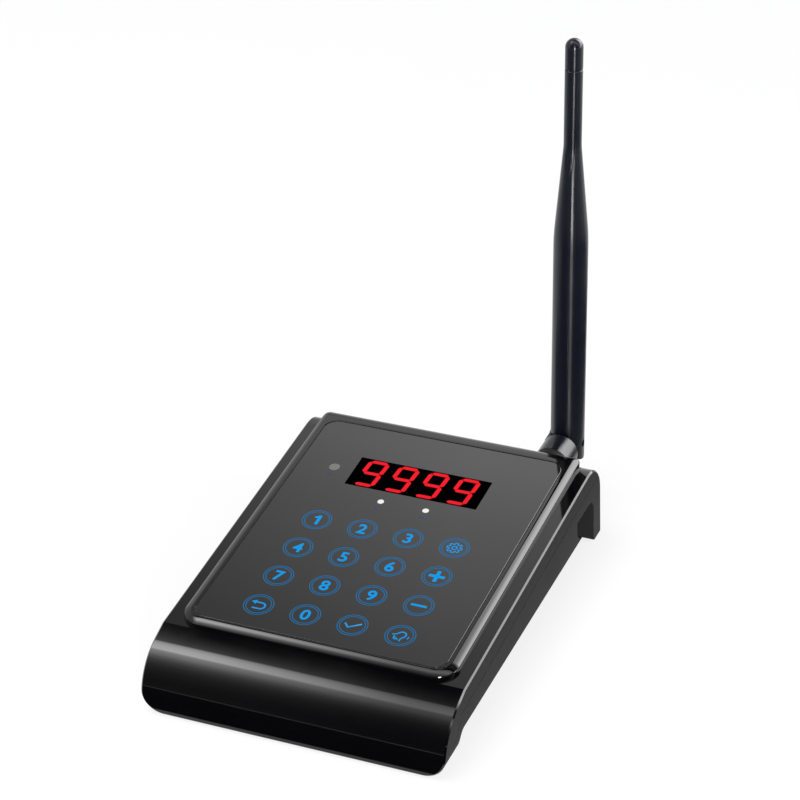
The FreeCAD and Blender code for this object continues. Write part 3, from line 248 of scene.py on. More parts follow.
# ABS from a spark-eroded tool: a fine satin that spreads highlights.
SATIN_BLACK = Finish("satin black ABS", "1d1d1e", 0.55, 1.45, grain_mm=0.25,
                     depth_mm=0.006, shade="212122", shine=0.08)
# Soda-lime glass with a dark print on its back: grey by its reflections alone.
SMOKED_GLASS = Finish("back-printed touch glass", "0c0b0b", 0.03, 1.55, drift=0.01,
                      grain=Grain.POLISHED, shade="100f0f")
# The print's clear windows over dark electronics: blacker than the rest of the glass.
WINDOW_BLACK = Finish("display window print", "000000", 0.10, 1.45, drift=0.01,
                      grain=Grain.POLISHED, shine=0.0)
# Screen-printed legend with blue light behind it: an even, saturated azure.
AZURE_INK = Finish("backlit azure legend", "02121f", 0.30, 1.45, glow="0098e6",
                   glow_strength=1.0, shine=0.05)
# The same print, thinner and so dimmer, in the key outlines.
AZURE_LINE = Finish("backlit azure outline", "020d14", 0.30, 1.45, glow="0672ac",
                    glow_strength=1.0, shine=0.05)
# Blue legend with its light off, given a faint painted glow so that it just shows on the
# glass.
PAINTED_GLOW_BLUE = Finish("blue legend with painted glow", "101c50", 0.30, 1.45, glow="1c3c9c",
                  glow_strength=0.55, shine=0.15)
# Diffused epoxy bars of a light-emitting display, saturated red when they are lit.
LIT_RED = Finish("lit display bar", "200306", 0.35, 1.45, glow="f01122", glow_strength=1.0,
                 shine=0.05)
# The same bars unlit, behind the window: a dull brick red.
DULL_RED = Finish("epoxy display bar", "7a1216", 0.35, 1.54, shade="6a0f12")
# Frosted acrylic lens with white light behind it: a soft, even white.
WHITE_LENS = Finish("frosted indicator lens", "9a9a98", 0.35, 1.49, glow="d8d8d6",
                    glow_strength=0.55)
# Clear hole in the print over a light sensor: a little paler than the glass round it.
GREY_LENS = Finish("ambient light window", "5c5a58", 0.30, 1.49, shade="646260")
# Thermoplastic elastomer of a flexible antenna: soft satin with a bluish cast.
# Turned lines round its mould draw the highlight out along its length.
ANTENNA_SATIN = Finish("satin antenna elastomer", "0a0d15", 0.25, 1.48, grain=Grain.TURNED,
                       shade="0c0f17", shine=0.42)
# Rubber strip from a plain tool: matt and slightly grey.
RUBBER = Finish("moulded black rubber", "161616", 0.75, 1.52, grain_mm=0.4, depth_mm=0.03,
                shade="1c1c1c")
# Closed-cell foam tape: matt and dark.
FOAM_TAPE = Finish("acrylic foam tape", "1c1c1c", 0.9, 1.4, grain_mm=0.5, depth_mm=0.04)
# Polyester film with a clear conductive print: milky and smooth.
CLEAR_FILM = Finish("polyester sensor film", "b9bcb2", 0.2, 1.57, shade="c4c7bd")
# White ABS that throws the lamps' light up through the legends: matt and bright.
WHITE_ABS = Finish("white reflector ABS", "e6e6e1", 0.5, 1.5, grain_mm=0.3, depth_mm=0.01)
# Glass-fibre board under solder mask: green, half gloss, a little uneven.
BOARD_GREEN = Finish("green solder mask", "12522a", 0.3, 1.5, grain_mm=0.8, depth_mm=0.01,
                     shade="0e4623")
# Blue epoxy cast over a chip: bright and glossy.
BLUE_LENS = Finish("blue epoxy lens", "2f7fe0", 0.15, 1.54)
# Tinted acrylic that hides the unlit bars: dark red and clear of marks.
RED_ACRYLIC = Finish("red tinted acrylic", "3a0508", 0.08, 1.49, grain=Grain.POLISHED)
# Printed face of the display block: flat black.
DISPLAY_BLACK = Finish("black display face", "0b0b0b", 0.5, 1.5, grain_mm=0.3, depth_mm=0.01)
# Cast acrylic rod that carries light: pale and glossy.
CLEAR_ACRYLIC = Finish("polished acrylic rod", "d8dde0", 0.1, 1.49)
# Tinned pins and shield: bright, with a drawn grain.
TIN = Finish("bright tin plate", "c9c9c7", 0.25, metallic=1.0, grain=Grain.BRUSHED,
             grain_mm=0.2, depth_mm=0.004, shade="b9b9b8")
# Zinc-plated screw: cool grey with a turned grain.
ZINC = Finish("zinc plated steel", "a9acb2", 0.35, metallic=1.0, grain=Grain.BRUSHED,
              grain_mm=0.2, depth_mm=0.006, shade="9a9da4")
# Nickel over turned brass: warm grey.
NICKEL = Finish("nickel plated brass", "b9b3a6", 0.22, metallic=1.0, grain=Grain.BRUSHED,
                grain_mm=0.15, depth_mm=0.004, shade="aca698")
# Drawn steel pin: plain grey.
STEEL = Finish("plain steel pin", "8d8f92", 0.35, metallic=1.0, grain=Grain.BRUSHED,
               grain_mm=0.15, depth_mm=0.004, shade="7f8184")
# Drawn brass rod: yellow metal.
BRASS = Finish("brass rod", "c79f55", 0.3, metallic=1.0, grain=Grain.BRUSHED, grain_mm=0.2,
               depth_mm=0.004, shade="b98f48")
# Transfer-moulded epoxy: matt near-black.
EPOXY = Finish("moulded chip epoxy", "17171a", 0.55, 1.55, grain_mm=0.2, depth_mm=0.008)
# Extruded vinyl jacket: soft black.
CABLE_JACKET = Finish("extruded cable jacket", "141414", 0.4, 1.5, grain_mm=0.5,
                      depth_mm=0.006)
# Matt black seen only in reflections: it paints dark reflections into the gloss beside it and
# gives nothing back.
PAINTED_REFLECTION_BLACK = Finish("painted dark reflection", "040404", 0.9, 1.4, grain_mm=0.5, depth_mm=0.02, shine=0.0)

NODE_FINISH: dict[str, Finish] = {
    "deck_shell": PIANO_BLACK, "panel_bezel": PIANO_BLACK, "bottom_cover": SATIN_BLACK,
    "touch_glass": SMOKED_GLASS, "glass_adhesive": FOAM_TAPE, "touch_sensor": CLEAR_FILM,
    "light_baffle": WHITE_ABS, "key_board": BOARD_GREEN, "key_leds": BLUE_LENS,
    "display_filter": RED_ACRYLIC, "display_module": DISPLAY_BLACK,
    "digit_segments": DULL_RED, "display_pins": TIN, "indicator_pipes": CLEAR_ACRYLIC,
    "indicator_leds": WHITE_LENS, "light_sensor": EPOXY, "main_board": BOARD_GREEN,
    "board_screws": ZINC, "board_chips": EPOXY, "board_header": EPOXY,
    "radio_module": BOARD_GREEN, "radio_can": TIN, "buzzer": EPOXY, "power_jack": EPOXY,
    "rubber_feet": RUBBER, "housing_screws": ZINC, "antenna_bushing": NICKEL,
    "antenna_washer": NICKEL, "antenna_nut": NICKEL, "antenna_base": ANTENNA_SATIN,
    "hinge_pin": STEEL, "antenna_blade": ANTENNA_SATIN, "antenna_element": BRASS,
    "antenna_cap": ANTENNA_SATIN, "antenna_lead": CABLE_JACKET,
}


# ---------------------------------------------------------------------- modelling helpers
def deselect() -> None:
    """Leave nothing selected, in object mode."""
    if bpy.context.object is not None and bpy.context.object.mode != "OBJECT":
        bpy.ops.object.mode_set(mode="OBJECT")
    bpy.ops.object.select_all(action="DESELECT")


def activate(*objects: bpy.types.Object) -> None:
    """Select these objects alone and make the first one active.

    Args:
        objects: what is selected.
    """
    deselect()
    for item in objects:
        item.select_set(True)
    bpy.context.view_layer.objects.active = objects[0]


@contextmanager
def editing(piece: bpy.types.Object) -> Iterator[None]:
    """Hold a piece in edit mode, with all of it selected at first.

    Args:
        piece: the mesh object.

    Yields:
        Nothing.
    """
    activate(piece)
    bpy.ops.object.mode_set(mode="EDIT")
    bpy.ops.mesh.select_all(action="SELECT")
    yield
    bpy.ops.object.mode_set(mode="OBJECT")


def pick(piece: bpy.types.Object, kind: str, chosen: Callable[[Any], bool]) -> None:
    """Select parts of a mesh by their place or normal, and stay in edit mode.

    Args:
        piece: the mesh object.
        kind: "EDGE" or "FACE".
        chosen: says whether an edge or a face is taken.
    """
    with editing(piece):
        bpy.ops.mesh.select_mode(type=kind)
        bpy.ops.mesh.select_all(action="DESELECT")
    for item in piece.data.edges if kind == "EDGE" else piece.data.polygons:
        item.select = bool(chosen(item))
    bpy.ops.object.mode_set(mode="EDIT")


def rise(piece: bpy.types.Object, edge: Any) -> float:
    """Return how far an edge of a piece rises, in millimetres."""
    first, second = (piece.data.vertices[i].co.z for i in edge.vertices)
    return abs(first - second) / MM


def block(sides: Sequence[float]) -> bpy.types.Object:
    """Start a piece from a block about the origin.

    Args:
        sides: its three sides in millimetres.

    Returns:
        The block.
    """
    deselect()
    bpy.ops.mesh.primitive_cube_add(size=1)
    piece = bpy.context.object
    piece.scale = [side * MM for side in sides]
    bpy.ops.object.transform_apply(scale=True)
    return piece


def rectangle(width: float, depth: float) -> bpy.types.Object:
    """Start a piece from a flat rectangle about the origin.

    Args:
        width: along x, in millimetres.
        depth: along y, in millimetres.

    Returns:
        The rectangle.
    """
    deselect()
    bpy.ops.mesh.primitive_plane_add(size=1)
    piece = bpy.context.object
    piece.scale = (width * MM, depth * MM, 1)
    bpy.ops.object.transform_apply(scale=True)
    return piece


def circle(radius: float, sides: int) -> bpy.types.Object:
    """Start a piece from a flat, filled circle about the origin.

    Args:
        radius: in millimetres.
        sides: how many corners it has.

    Returns:
        The circle.
    """
    deselect()
    bpy.ops.mesh.primitive_circle_add(vertices=sides, radius=radius * MM, fill_type="NGON")
    return bpy.context.object


def arc(
    radius: float, middle: tuple[float, float], turns: Iterable[float]
) -> list[tuple[float, float]]:
    """Place points on an arc.

    Args:
        radius: of the arc.
        middle: its centre.
        turns: where the points are, in degrees from the first axis.

    Returns:
        The points.
    """
    return [(middle[0] + radius * math.cos(math.radians(turn)),
             middle[1] + radius * math.sin(math.radians(turn))) for turn in turns]


def settle(piece: bpy.types.Object, matrix: Matrix) -> None:
    """Move a piece's mesh by a matrix, and leave its object at the origin.

    Args:
        piece: the mesh object, still at the origin.
        matrix: where its mesh goes in the row frame.
    """
    activate(piece)
    piece.matrix_world = matrix
    bpy.ops.object.transform_apply(location=True, rotation=True, scale=True)


def mend(piece: bpy.types.Object, doubles: bool = True) -> None:
    """Turn a piece's faces outwards, with its double points merged first.

    Args:
        piece: the mesh object.
        doubles: whether double points are merged.
    """
    with editing(piece):
        if doubles:
            bpy.ops.mesh.remove_doubles(threshold=DOUBLE_MM * MM)
        bpy.ops.mesh.normals_make_consistent(inside=False)


def modify(piece: bpy.types.Object, kind: str, **settings: Any) -> None:
    """Finish a piece with a modifier that is applied at once.

    Args:
        piece: the mesh object.
        kind: the modifier's type name.
        settings: values of its properties.
    """
    activate(piece)
    modifier = piece.modifiers.new(kind.lower(), kind)
    for key, setting in settings.items():
        setattr(modifier, key, setting)
    bpy.ops.object.modifier_apply(modifier=modifier.name)


def to_mesh(piece: bpy.types.Object) -> None:
    """Turn a text or curve into a closed mesh.

    Args:
        piece: the text or curve object.
    """
    activate(piece)
    bpy.ops.object.convert(target="MESH")
    mend(piece)


def join(pieces: Sequence[bpy.types.Object], name: str) -> bpy.types.Object:
    """Join meshes into one named piece.

    Args:
        pieces: the mesh objects.
        name: of the new piece.

    Returns:
        The new piece.
    """
    activate(*pieces)
    if len(pieces) > 1:
        bpy.ops.object.join()
    pieces[0].name = pieces[0].data.name = name
    return pieces[0]


def into_scene(item: bpy.types.Object) -> bpy.types.Object:
    """Put a new object into the scene and return it."""
    bpy.context.scene.collection.objects.link(item)
    return item


def twin(piece: bpy.types.Object) -> bpy.types.Object:
    """Copy a piece.

    Args:
        piece: the mesh object.

    Returns:
        The copy, with a mesh of its own.
    """
    copy = piece.copy()
    copy.data = piece.data.copy()
    return into_scene(copy)


def finish_piece(
    piece: bpy.types.Object, name: str, body: Body, finish: Finish,
    replaces: Sequence[str] = (),
) -> None:
    """Name a piece, give it its finish and let it ride on its body.

    Args:
        piece: the finished mesh.
        name: the piece's name.
        body: the body it moves with.
        finish: its material.
        replaces: the nodes that it stands for.
    """
    piece.name = piece.data.name = name
    piece.data.materials.clear()
    piece.data.materials.append(finish.material())
    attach(piece, body.value)
    if replaces:
        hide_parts(*replaces)
    LOG.info("%s on %s, %d faces", name, body.value, len(piece.data.polygons))


def merged_copy(node: bpy.types.Object) -> bpy.types.Object:
    """Copy a node's loose triangles into one closed mesh.

    Args:
        node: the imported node's object.

    Returns:
        The copy, at the origin.
    """
    copy = twin(node)
    for key in [key for key in copy.keys() if key.startswith("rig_")]:
        del copy[key]
    copy.parent = None
    activate(copy)
    if copy.data.has_custom_normals:
        bpy.ops.mesh.customdata_custom_splitnormals_clear()
    with editing(copy):
        bpy.ops.mesh.remove_doubles(threshold=WELD_MM * MM)
        bpy.ops.mesh.dissolve_limited(angle_limit=math.radians(FLUSH))
    return copy


def shade(piece: bpy.types.Object, angle: float = CREASE) -> None:
    """Shade a piece smooth, with its broad faces kept flat to the eye.

    Args:
        piece: the mesh object.
        angle: edges sharper than this many degrees stay sharp.
    """
    activate(piece)
    bpy.ops.object.shade_smooth_by_angle(angle=math.radians(angle))
    modify(piece, "WEIGHTED_NORMAL", mode="FACE_AREA", keep_sharp=True)


@dataclass
class PanelFrame:
    """The slope of the glass: u to the right, v up the slope, n out of the glass.

    Attributes:
        tilt: slope in degrees.
        height: the glass above the counter at the middle of the key grid.
        shift: the key grid's middle along the row's Y axis.
    """

    tilt: float = 3.8
    height: float = 31.9
    shift: float = -35.9357

    def matrix(self, u: float = 0.0, v: float = 0.0, n: float = 0.0) -> Matrix:
        """Find the matrix that lays a flat piece on the glass.

        Args:
            u: millimetres to the right of the key grid's middle.
            v: millimetres up the slope from it.
            n: millimetres above the glass.

        Returns:
            The matrix.
        """
        base = Matrix.Translation(Vector((0, self.shift * MM, self.height * MM)))
        turn = Matrix.Rotation(math.radians(self.tilt), 4, "X")
        return base @ turn @ Matrix.Translation(Vector((u, v, n)) * MM)


# ---------------------------------------------------------------------- flat marks
@dataclass
class Marks:
    """Thin printed and lit marks, modelled flat in millimetres about their middle.

    Attributes:
        thickness: height of a mark.
        sides: corners of a ring.
        steps: how finely a plate's corners, a line's section and a letter are rounded.
    """

    thickness: float = 0.03
    sides: int = 72
    steps: tuple[int, int, int] = (6, 3, 8)

    def ring(self, radius: float, width: float) -> bpy.types.Object:
        """Model a flat ring.

        Args:
            radius: outer radius.
            width: width of its line.

        Returns:
            The ring's mesh.
        """
        piece = circle(radius, self.sides)
        with editing(piece):
            bpy.ops.mesh.inset(thickness=width * MM)
            bpy.ops.mesh.delete(type="FACE")
        self.thicken(piece)
        return piece

    def disc(self, radius: float, sides: int = 36) -> bpy.types.Object:
        """Model a flat disc, or a regular plate with few sides.

        Args:
            radius: from its middle to a corner.
            sides: how many corners it has.

        Returns:
            Its mesh.
        """
        piece = circle(radius, sides)
        self.thicken(piece)
        return piece

    def plate(self, width: float, depth: float, corner: float = 0.0) -> bpy.types.Object:
        """Model a flat plate.

        Args:
            width: size along x.
            depth: size along y.
            corner: radius of its corners.

        Returns:
            The plate's mesh.
        """
        piece = rectangle(width, depth)
        if corner > 0:
            with editing(piece):
                bpy.ops.mesh.bevel(offset=corner * MM, segments=self.steps[0],
                                   affect="VERTICES")
        self.thicken(piece)
        return piece

    def stroke(
        self, points: Iterable[tuple[float, float]], width: float, closed: bool = False
    ) -> bpy.types.Object:
        """Model a drawn line with round ends and corners.

        Args:
            points: its corners in millimetres.
            width: of the line.
            closed: whether it ends where it starts.

        Returns:
            The line's mesh.
        """
        deselect()
        curve = bpy.data.curves.new("stroke", "CURVE")
        curve.dimensions = "3D"
        curve.bevel_depth = width / 2 * MM
        curve.bevel_resolution = self.steps[1]
        curve.use_fill_caps = True
        places = list(points)
        spline = curve.splines.new("POLY")
        spline.points.add(len(places) - 1)
        for point, (x, y) in zip(spline.points, places):
            point.co = (x * MM, y * MM, 0, 1)
        spline.use_cyclic_u = closed
        piece = into_scene(bpy.data.objects.new("stroke", curve))
        to_mesh(piece)
        settle(piece, Matrix.Diagonal((1, 1, self.thickness / width, 1)))
        return piece

    def text(self, letters: str, height: float, weight: float = 0.0) -> bpy.types.Object:
        """Model generic characters, such as the digit on a key.

        Args:
            letters: what to write.
            height: of a digit.
            weight: how far its outline is pushed out, in millimetres.

        Returns:
            The mesh, centred on the origin.
        """
        deselect()
        bpy.ops.object.text_add()
        piece = bpy.context.object
        piece.data.body = letters
        piece.data.size = height / DIGIT_SHARE * MM
        piece.data.offset = weight * MM
        piece.data.extrude = self.thickness / 2 * MM
        piece.data.resolution_u = self.steps[2]
        to_mesh(piece)
        corners = [Vector(v.co) for v in piece.data.vertices]
        low = Vector([min(c[i] for c in corners) for i in range(3)])
        high = Vector([max(c[i] for c in corners) for i in range(3)])
        settle(piece, Matrix.Translation(-(low + high) / 2))
        return piece

    def thicken(self, piece: bpy.types.Object) -> None:
        """Give a flat face its thickness, half above and half below.

        Args:
            piece: the flat mesh.
        """
        modify(piece, "SOLIDIFY", thickness=self.thickness * MM, offset=0.0)
        mend(piece, doubles=False)


# ---------------------------------------------------------------------- the console's body
@dataclass
class Housing:
    """The two mouldings, the bezel and the pieces inside them.

    Attributes:
        slope: the slope that the bezel lies on.
        bezel_half: half the bezel's width.
        bezel_front: from the key grid's middle to the bezel's front.
        bezel_corner: radius of its front corners.
        blank: how far behind the key grid's middle the blank that shapes the bezel reaches,
            and how deep it is.
        crown_start: height over the glass at which the rim's crown starts.
        crown: section of the crown, as steps inwards and upwards.
        recess: half width, front and rear of the recess for the glass.
        eased: rounding of the recess's edge.
        play: how far from the recess's outline, and below the top, its edges may lie.
        creases: edges sharper than this many degrees stay sharp, on the shells and on the
            bezel.
        guards: places along the row's Y axis of edges that keep flat faces flat to the eye.
    """

    slope: PanelFrame
    bezel_half: float = 55.12
    bezel_front: float = 43.32
    bezel_corner: float = 9.0
    blank: tuple[float, float] = (130.0, 20.0)
    crown_start: float = -1.35
    crown: tuple[tuple[float, float], ...] = (
        (0.42, 0.05), (0.396, 0.287), (0.414, 0.259), (0.431, 0.229), (0.447, 0.199),
        (0.459, 0.167), (0.351, 0.104), (0.128, 0.028), (0.129, 0.017), (0.131, 0.006),
        (0.02, 0.06))
    recess: tuple[float, float, float] = (50.65, -39.55, 89.05)
    eased: float = 0.28
    play: tuple[float, float] = (0.05, 0.02)
    creases: tuple[float, float] = (12.0, 24.0)
    guards: tuple[float, ...] = (-90.15, -90.65, 51.8)

    def copies(self, node: bpy.types.Object, name: str) -> None:
        """Copy a shell, gloss on its upper faces and satin on its sides.

        Args:
            node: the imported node's object.
            name: the piece's name.
        """
        piece = merged_copy(node)
        for place in self.guards:
            with editing(piece):
                bpy.ops.mesh.bisect(plane_co=(0, place * MM, 0), plane_no=(0, 1, 0))
        shade(piece, self.creases[0])
        finish_piece(piece, name, Body.CONSOLE, NODE_FINISH[node.name], [node.name])
        piece.data.materials.append(SATIN_BLACK.material())
        pick(piece, "FACE", lambda face: abs(face.normal.x) > FACING)
        piece.active_material_index = 1
        bpy.ops.object.material_slot_assign()
        bpy.ops.object.mode_set(mode="OBJECT")

    def _crown(self) -> bpy.types.Object:
        """Model the blank whose upper rim has the bezel's section.

        Returns:
            The blank, in place.
        """
        behind, deep = self.blank
        solid = block((2 * self.bezel_half, self.bezel_front + behind, deep))
        pick(solid, "EDGE", lambda edge: rise(solid, edge) > deep / 2
             and solid.data.vertices[edge.vertices[0]].co.y < 0)
        bpy.ops.mesh.bevel(offset=self.bezel_corner * MM, segments=24)
        pick(solid, "FACE", lambda face: face.normal.z > FACING)
        for inwards, upwards in self.crown:
            bpy.ops.mesh.inset(thickness=inwards * MM, depth=upwards * MM)
        middle = (behind - self.bezel_front) / 2
        settle(solid, self.slope.matrix(0, middle, self.crown_start - deep / 2))
        return solid

    def bezel(self, node: bpy.types.Object) -> None:
        """Model the bezel with its broad crown and the eased edge of its recess.

        Args:
            node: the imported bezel.
        """
        piece = merged_copy(node)
        solid = self._crown()
        modify(piece, "BOOLEAN", operation="INTERSECT", solver="EXACT", object=solid)
        bpy.data.objects.remove(solid)
        back = self.slope.matrix().inverted()
        half, front, rear = self.recess
        near, below = self.play

        def on_edge(edge: Any) -> bool:
            """Say whether an edge borders the recess on the bezel's top.

            Args:
                edge: an edge of the bezel.

            Returns:
                Whether it does.
            """
            ends = [back @ piece.data.vertices[i].co / MM for i in edge.vertices]
            return all(end.z > -below and abs(end.x) < half + near
                       and front - near < end.y < rear + near for end in ends)

        pick(piece, "EDGE", on_edge)
        bpy.ops.mesh.bevel(offset=self.eased * MM, segments=2)
        mend(piece)
        shade(piece, self.creases[1])
        finish_piece(piece, "glass_bezel", Body.CONSOLE, PIANO_BLACK,
                     ["panel_bezel"])

    def build(self, nodes: dict[str, bpy.types.Object]) -> None:
        """Dress every node and put the smooth shells in place.

        Args:
            nodes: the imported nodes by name.
        """
        for name, node in nodes.items():
            node.data.materials.clear()
            node.data.materials.append(NODE_FINISH[name].material())
        self.copies(nodes["deck_shell"], "upper_deck")
        self.copies(nodes["bottom_cover"], "lower_cover")
        self.bezel(nodes["panel_bezel"])


@dataclass
class TouchPanel:
    """The flush glass with its key legends, display window and indicators.

    Attributes:
        frame: the slope that it lies on.
        width: of the glass.
        front: from the key grid's middle to its front edge.
        rear: from the key grid's middle to its rear edge.
        corner: radius of its corners.
        thickness: of the glass.
        step_x: between keys across.
        step_y: between keys up the slope.
        ring: outer radius of a key's outline.
        ring_inner: outer radius of its inner line.
        line: width of those lines.
        legend: height of a digit on a key.
        weight: how far a digit's outline is pushed out.
        hairline: width of the lines of the small legends.
        ground: width of the glass's ground edge.
        lamp: distance of an indicator from the middle, its place up the slope and its radius.
        sensor: place of the light sensor across and up the slope, and its radius.
        above: how far marks stand off the glass.
        marks: what models the marks.
    """

    frame: PanelFrame
    width: float = 101.0
    front: float = -39.4
    rear: float = 88.9
    corner: float = 5.5
    thickness: float = 2.0
    step_x: float = 19.0
    step_y: float = 17.86
    ring: float = 5.85
    ring_inner: float = 4.95
    line: float = 0.30
    legend: float = 5.6
    weight: float = 0.16
    hairline: float = 0.3
    ground: float = 0.22
    lamp: tuple[float, float, float] = (9.39, 44.8, 1.3)
    sensor: tuple[float, float, float] = (-35.6, 60.0, 2.15)
    above: float = 0.03
    marks: Marks = field(default_factory=Marks)

    def glass(self) -> None:
        """Model the glass with ground edges."""
        piece = block((self.width, self.rear - self.front, self.thickness))
        pick(piece, "EDGE", lambda edge: rise(piece, edge) > self.thickness / 2)
        bpy.ops.mesh.bevel(offset=self.corner * MM, segments=12)
        pick(piece, "FACE", lambda face: face.normal.z > FACING)
        bpy.ops.mesh.bevel(offset=self.ground * MM, segments=3)
        shade(piece)
        settle(piece, self.frame.matrix(0, (self.rear + self.front) / 2, -self.thickness / 2))
        finish_piece(piece, "smoked_glass_panel", Body.CONSOLE, SMOKED_GLASS,
                     ["touch_glass"])

    def keys(self) -> None:
        """Model the sixteen key outlines and the legend in each."""
        legends = (
            ("undo", self._undo), ("0", None), ("confirm", self._confirm),
            ("call", self._bell),
            ("7", None), ("8", None), ("9", None), ("minus", self._minus),
            ("4", None), ("5", None), ("6", None), ("plus", self._plus),
            ("1", self._one), ("2", None), ("3", None), ("settings", self._gear),
        )
        outline = join([self.marks.ring(self.ring, self.line),
                        self.marks.ring(self.ring_inner, self.line)], "outline")
        for index, (name, drawing) in enumerate(legends):
            place = self.frame.matrix(
                (index % 4 - 1.5) * self.step_x, (index // 4 - 1.5) * self.step_y, self.above)
            rings = twin(outline)
            settle(rings, place)
            finish_piece(rings, f"key_outline_{name}", Body.CONSOLE, AZURE_LINE)
            mark = drawing() if drawing else self.marks.text(name, self.legend, self.weight)
            settle(mark, place)
            finish_piece(mark, f"key_legend_{name}", Body.CONSOLE, AZURE_INK)
        bpy.data.objects.remove(outline)

    def _one(self) -> bpy.types.Object:
        """Draw the figure one: a stem with a flag at its top.

        Returns:
            Its mesh.
        """
        stem = self.marks.plate(1.25, self.legend, 0.08)
        settle(stem, Matrix.Translation(Vector((0.55, 0, 0)) * MM))
        flag = self.marks.stroke([(0.35, 2.15), (-0.5, 1.55), (-1.35, 1.25)], 1.0)
        return join([stem, flag], "one")

    def _undo(self) -> bpy.types.Object:
        """Draw the back arrow: a hook that ends in a solid head.

        Returns:
            Its mesh.
        """
        hook = [(-1.6, 1.25), (1.0, 1.25), *arc(1.7, (1.0, -0.45), range(90, -91, -15)),
                (-1.9, -2.15)]
        head = self.marks.disc(1.35, 3)
        settle(head, Matrix.Translation(Vector((-2.0, 1.25, 0)) * MM)
               @ Matrix.Rotation(math.radians(90), 4, "Z"))
        return join([self.marks.stroke(hook, 0.72), head], "undo")

    def _confirm(self) -> bpy.types.Object:
        """Draw the tick."""
        return self.marks.stroke([(-3.1, 0.5), (-1.3, -1.6), (3.2, 1.5)], 0.78)

    def _bell(self) -> bpy.types.Object:
        """Draw the tilted bell's outline with its clapper and a sound line.

        Returns:
            Its mesh.
        """
        dome = arc(1.55, (0.0, 0.7), range(0, 181, 15))
        bell = [(2.5, -1.9), (1.6, -0.9), *dome, (-1.6, -0.9), (-2.5, -1.9)]
        clapper = arc(0.75, (0.0, -2.0), range(180, 361, 20))
        piece = join([self.marks.stroke(bell, 0.62, closed=True),
                      self.marks.stroke(clapper, 0.6),
                      self.marks.stroke([(2.5, 2.3), (3.1, 1.1)], 0.5)], "bell")
        settle(piece, Matrix.Rotation(math.radians(-40), 4, "Z"))
        return piece

    def _minus(self) -> bpy.types.Object:
        """Draw the minus bar."""
        return self.marks.plate(6.3, 1.15, 0.1)

    def _plus(self) -> bpy.types.Object:
        """Draw the plus from two bars."""
        return join([self.marks.plate(6.4, 1.45, 0.1), self.marks.plate(1.45, 6.4, 0.1)],
                    "plus")

    def _gear(self) -> bpy.types.Object:
        """Draw the cog's outline and its hub.

        Returns:
            Its mesh.
        """
        teeth = [point for tooth in range(8) for offset, radius in
                 ((-15, 2.15), (-9, 3.0), (9, 3.0), (15, 2.15))
                 for point in arc(radius, (0.0, 0.0), [45 * tooth + offset])]
        return join([self.marks.stroke(teeth, 0.58, closed=True), self.marks.ring(1.2, 0.5)],
                    "gear")

    def lamps(self) -> None:
        """Model the two indicators, the light sensor's window and their small legends."""
        aside, up, radius = self.lamp
        lens = self.marks.disc(radius)
        for name, piece, u in (("left", lens, -aside), ("right", twin(lens), aside)):
            settle(piece, self.frame.matrix(u, up, self.above))
            finish_piece(piece, f"indicator_lens_{name}", Body.CONSOLE, WHITE_LENS)
        across, up, radius = self.sensor
        window = self.marks.disc(radius)
        settle(window, self.frame.matrix(across, up, self.above))
        finish_piece(window, "light_sensor_window", Body.CONSOLE, GREY_LENS)
        drawings = (
            ("light", -35.6, 54.9, [[(-0.9, -0.5), (-0.2, 0.5)], [(0.3, 0.5), (0.9, -0.5)]]),
            ("power", -9.3, 40.7, [[(-0.9, 0.0), (0.9, 0.0)], [(-0.3, -0.5), (0.5, 0.5)]]),
            ("signal", 10.0, 40.5, [[(-1.6, -0.4), (-0.9, 0.5), (-0.2, -0.4)],
                                    [(0.5, -0.5), (0.5, 0.5)], [(1.3, -0.5), (1.3, 0.5)]]),
        )
        for name, u, v, lines in drawings:
            mark = join([self.marks.stroke(line, self.hairline) for line in lines], name)
            settle(mark, self.frame.matrix(u, v, self.above))
            # The small legends carry a painted glow, though their light is off.
            finish_piece(mark, f"small_legend_{name}", Body.CONSOLE, PAINTED_GLOW_BLUE)

    def build(self) -> None:
        """Model the whole panel."""
        self.glass()
        self.keys()
        self.lamps()


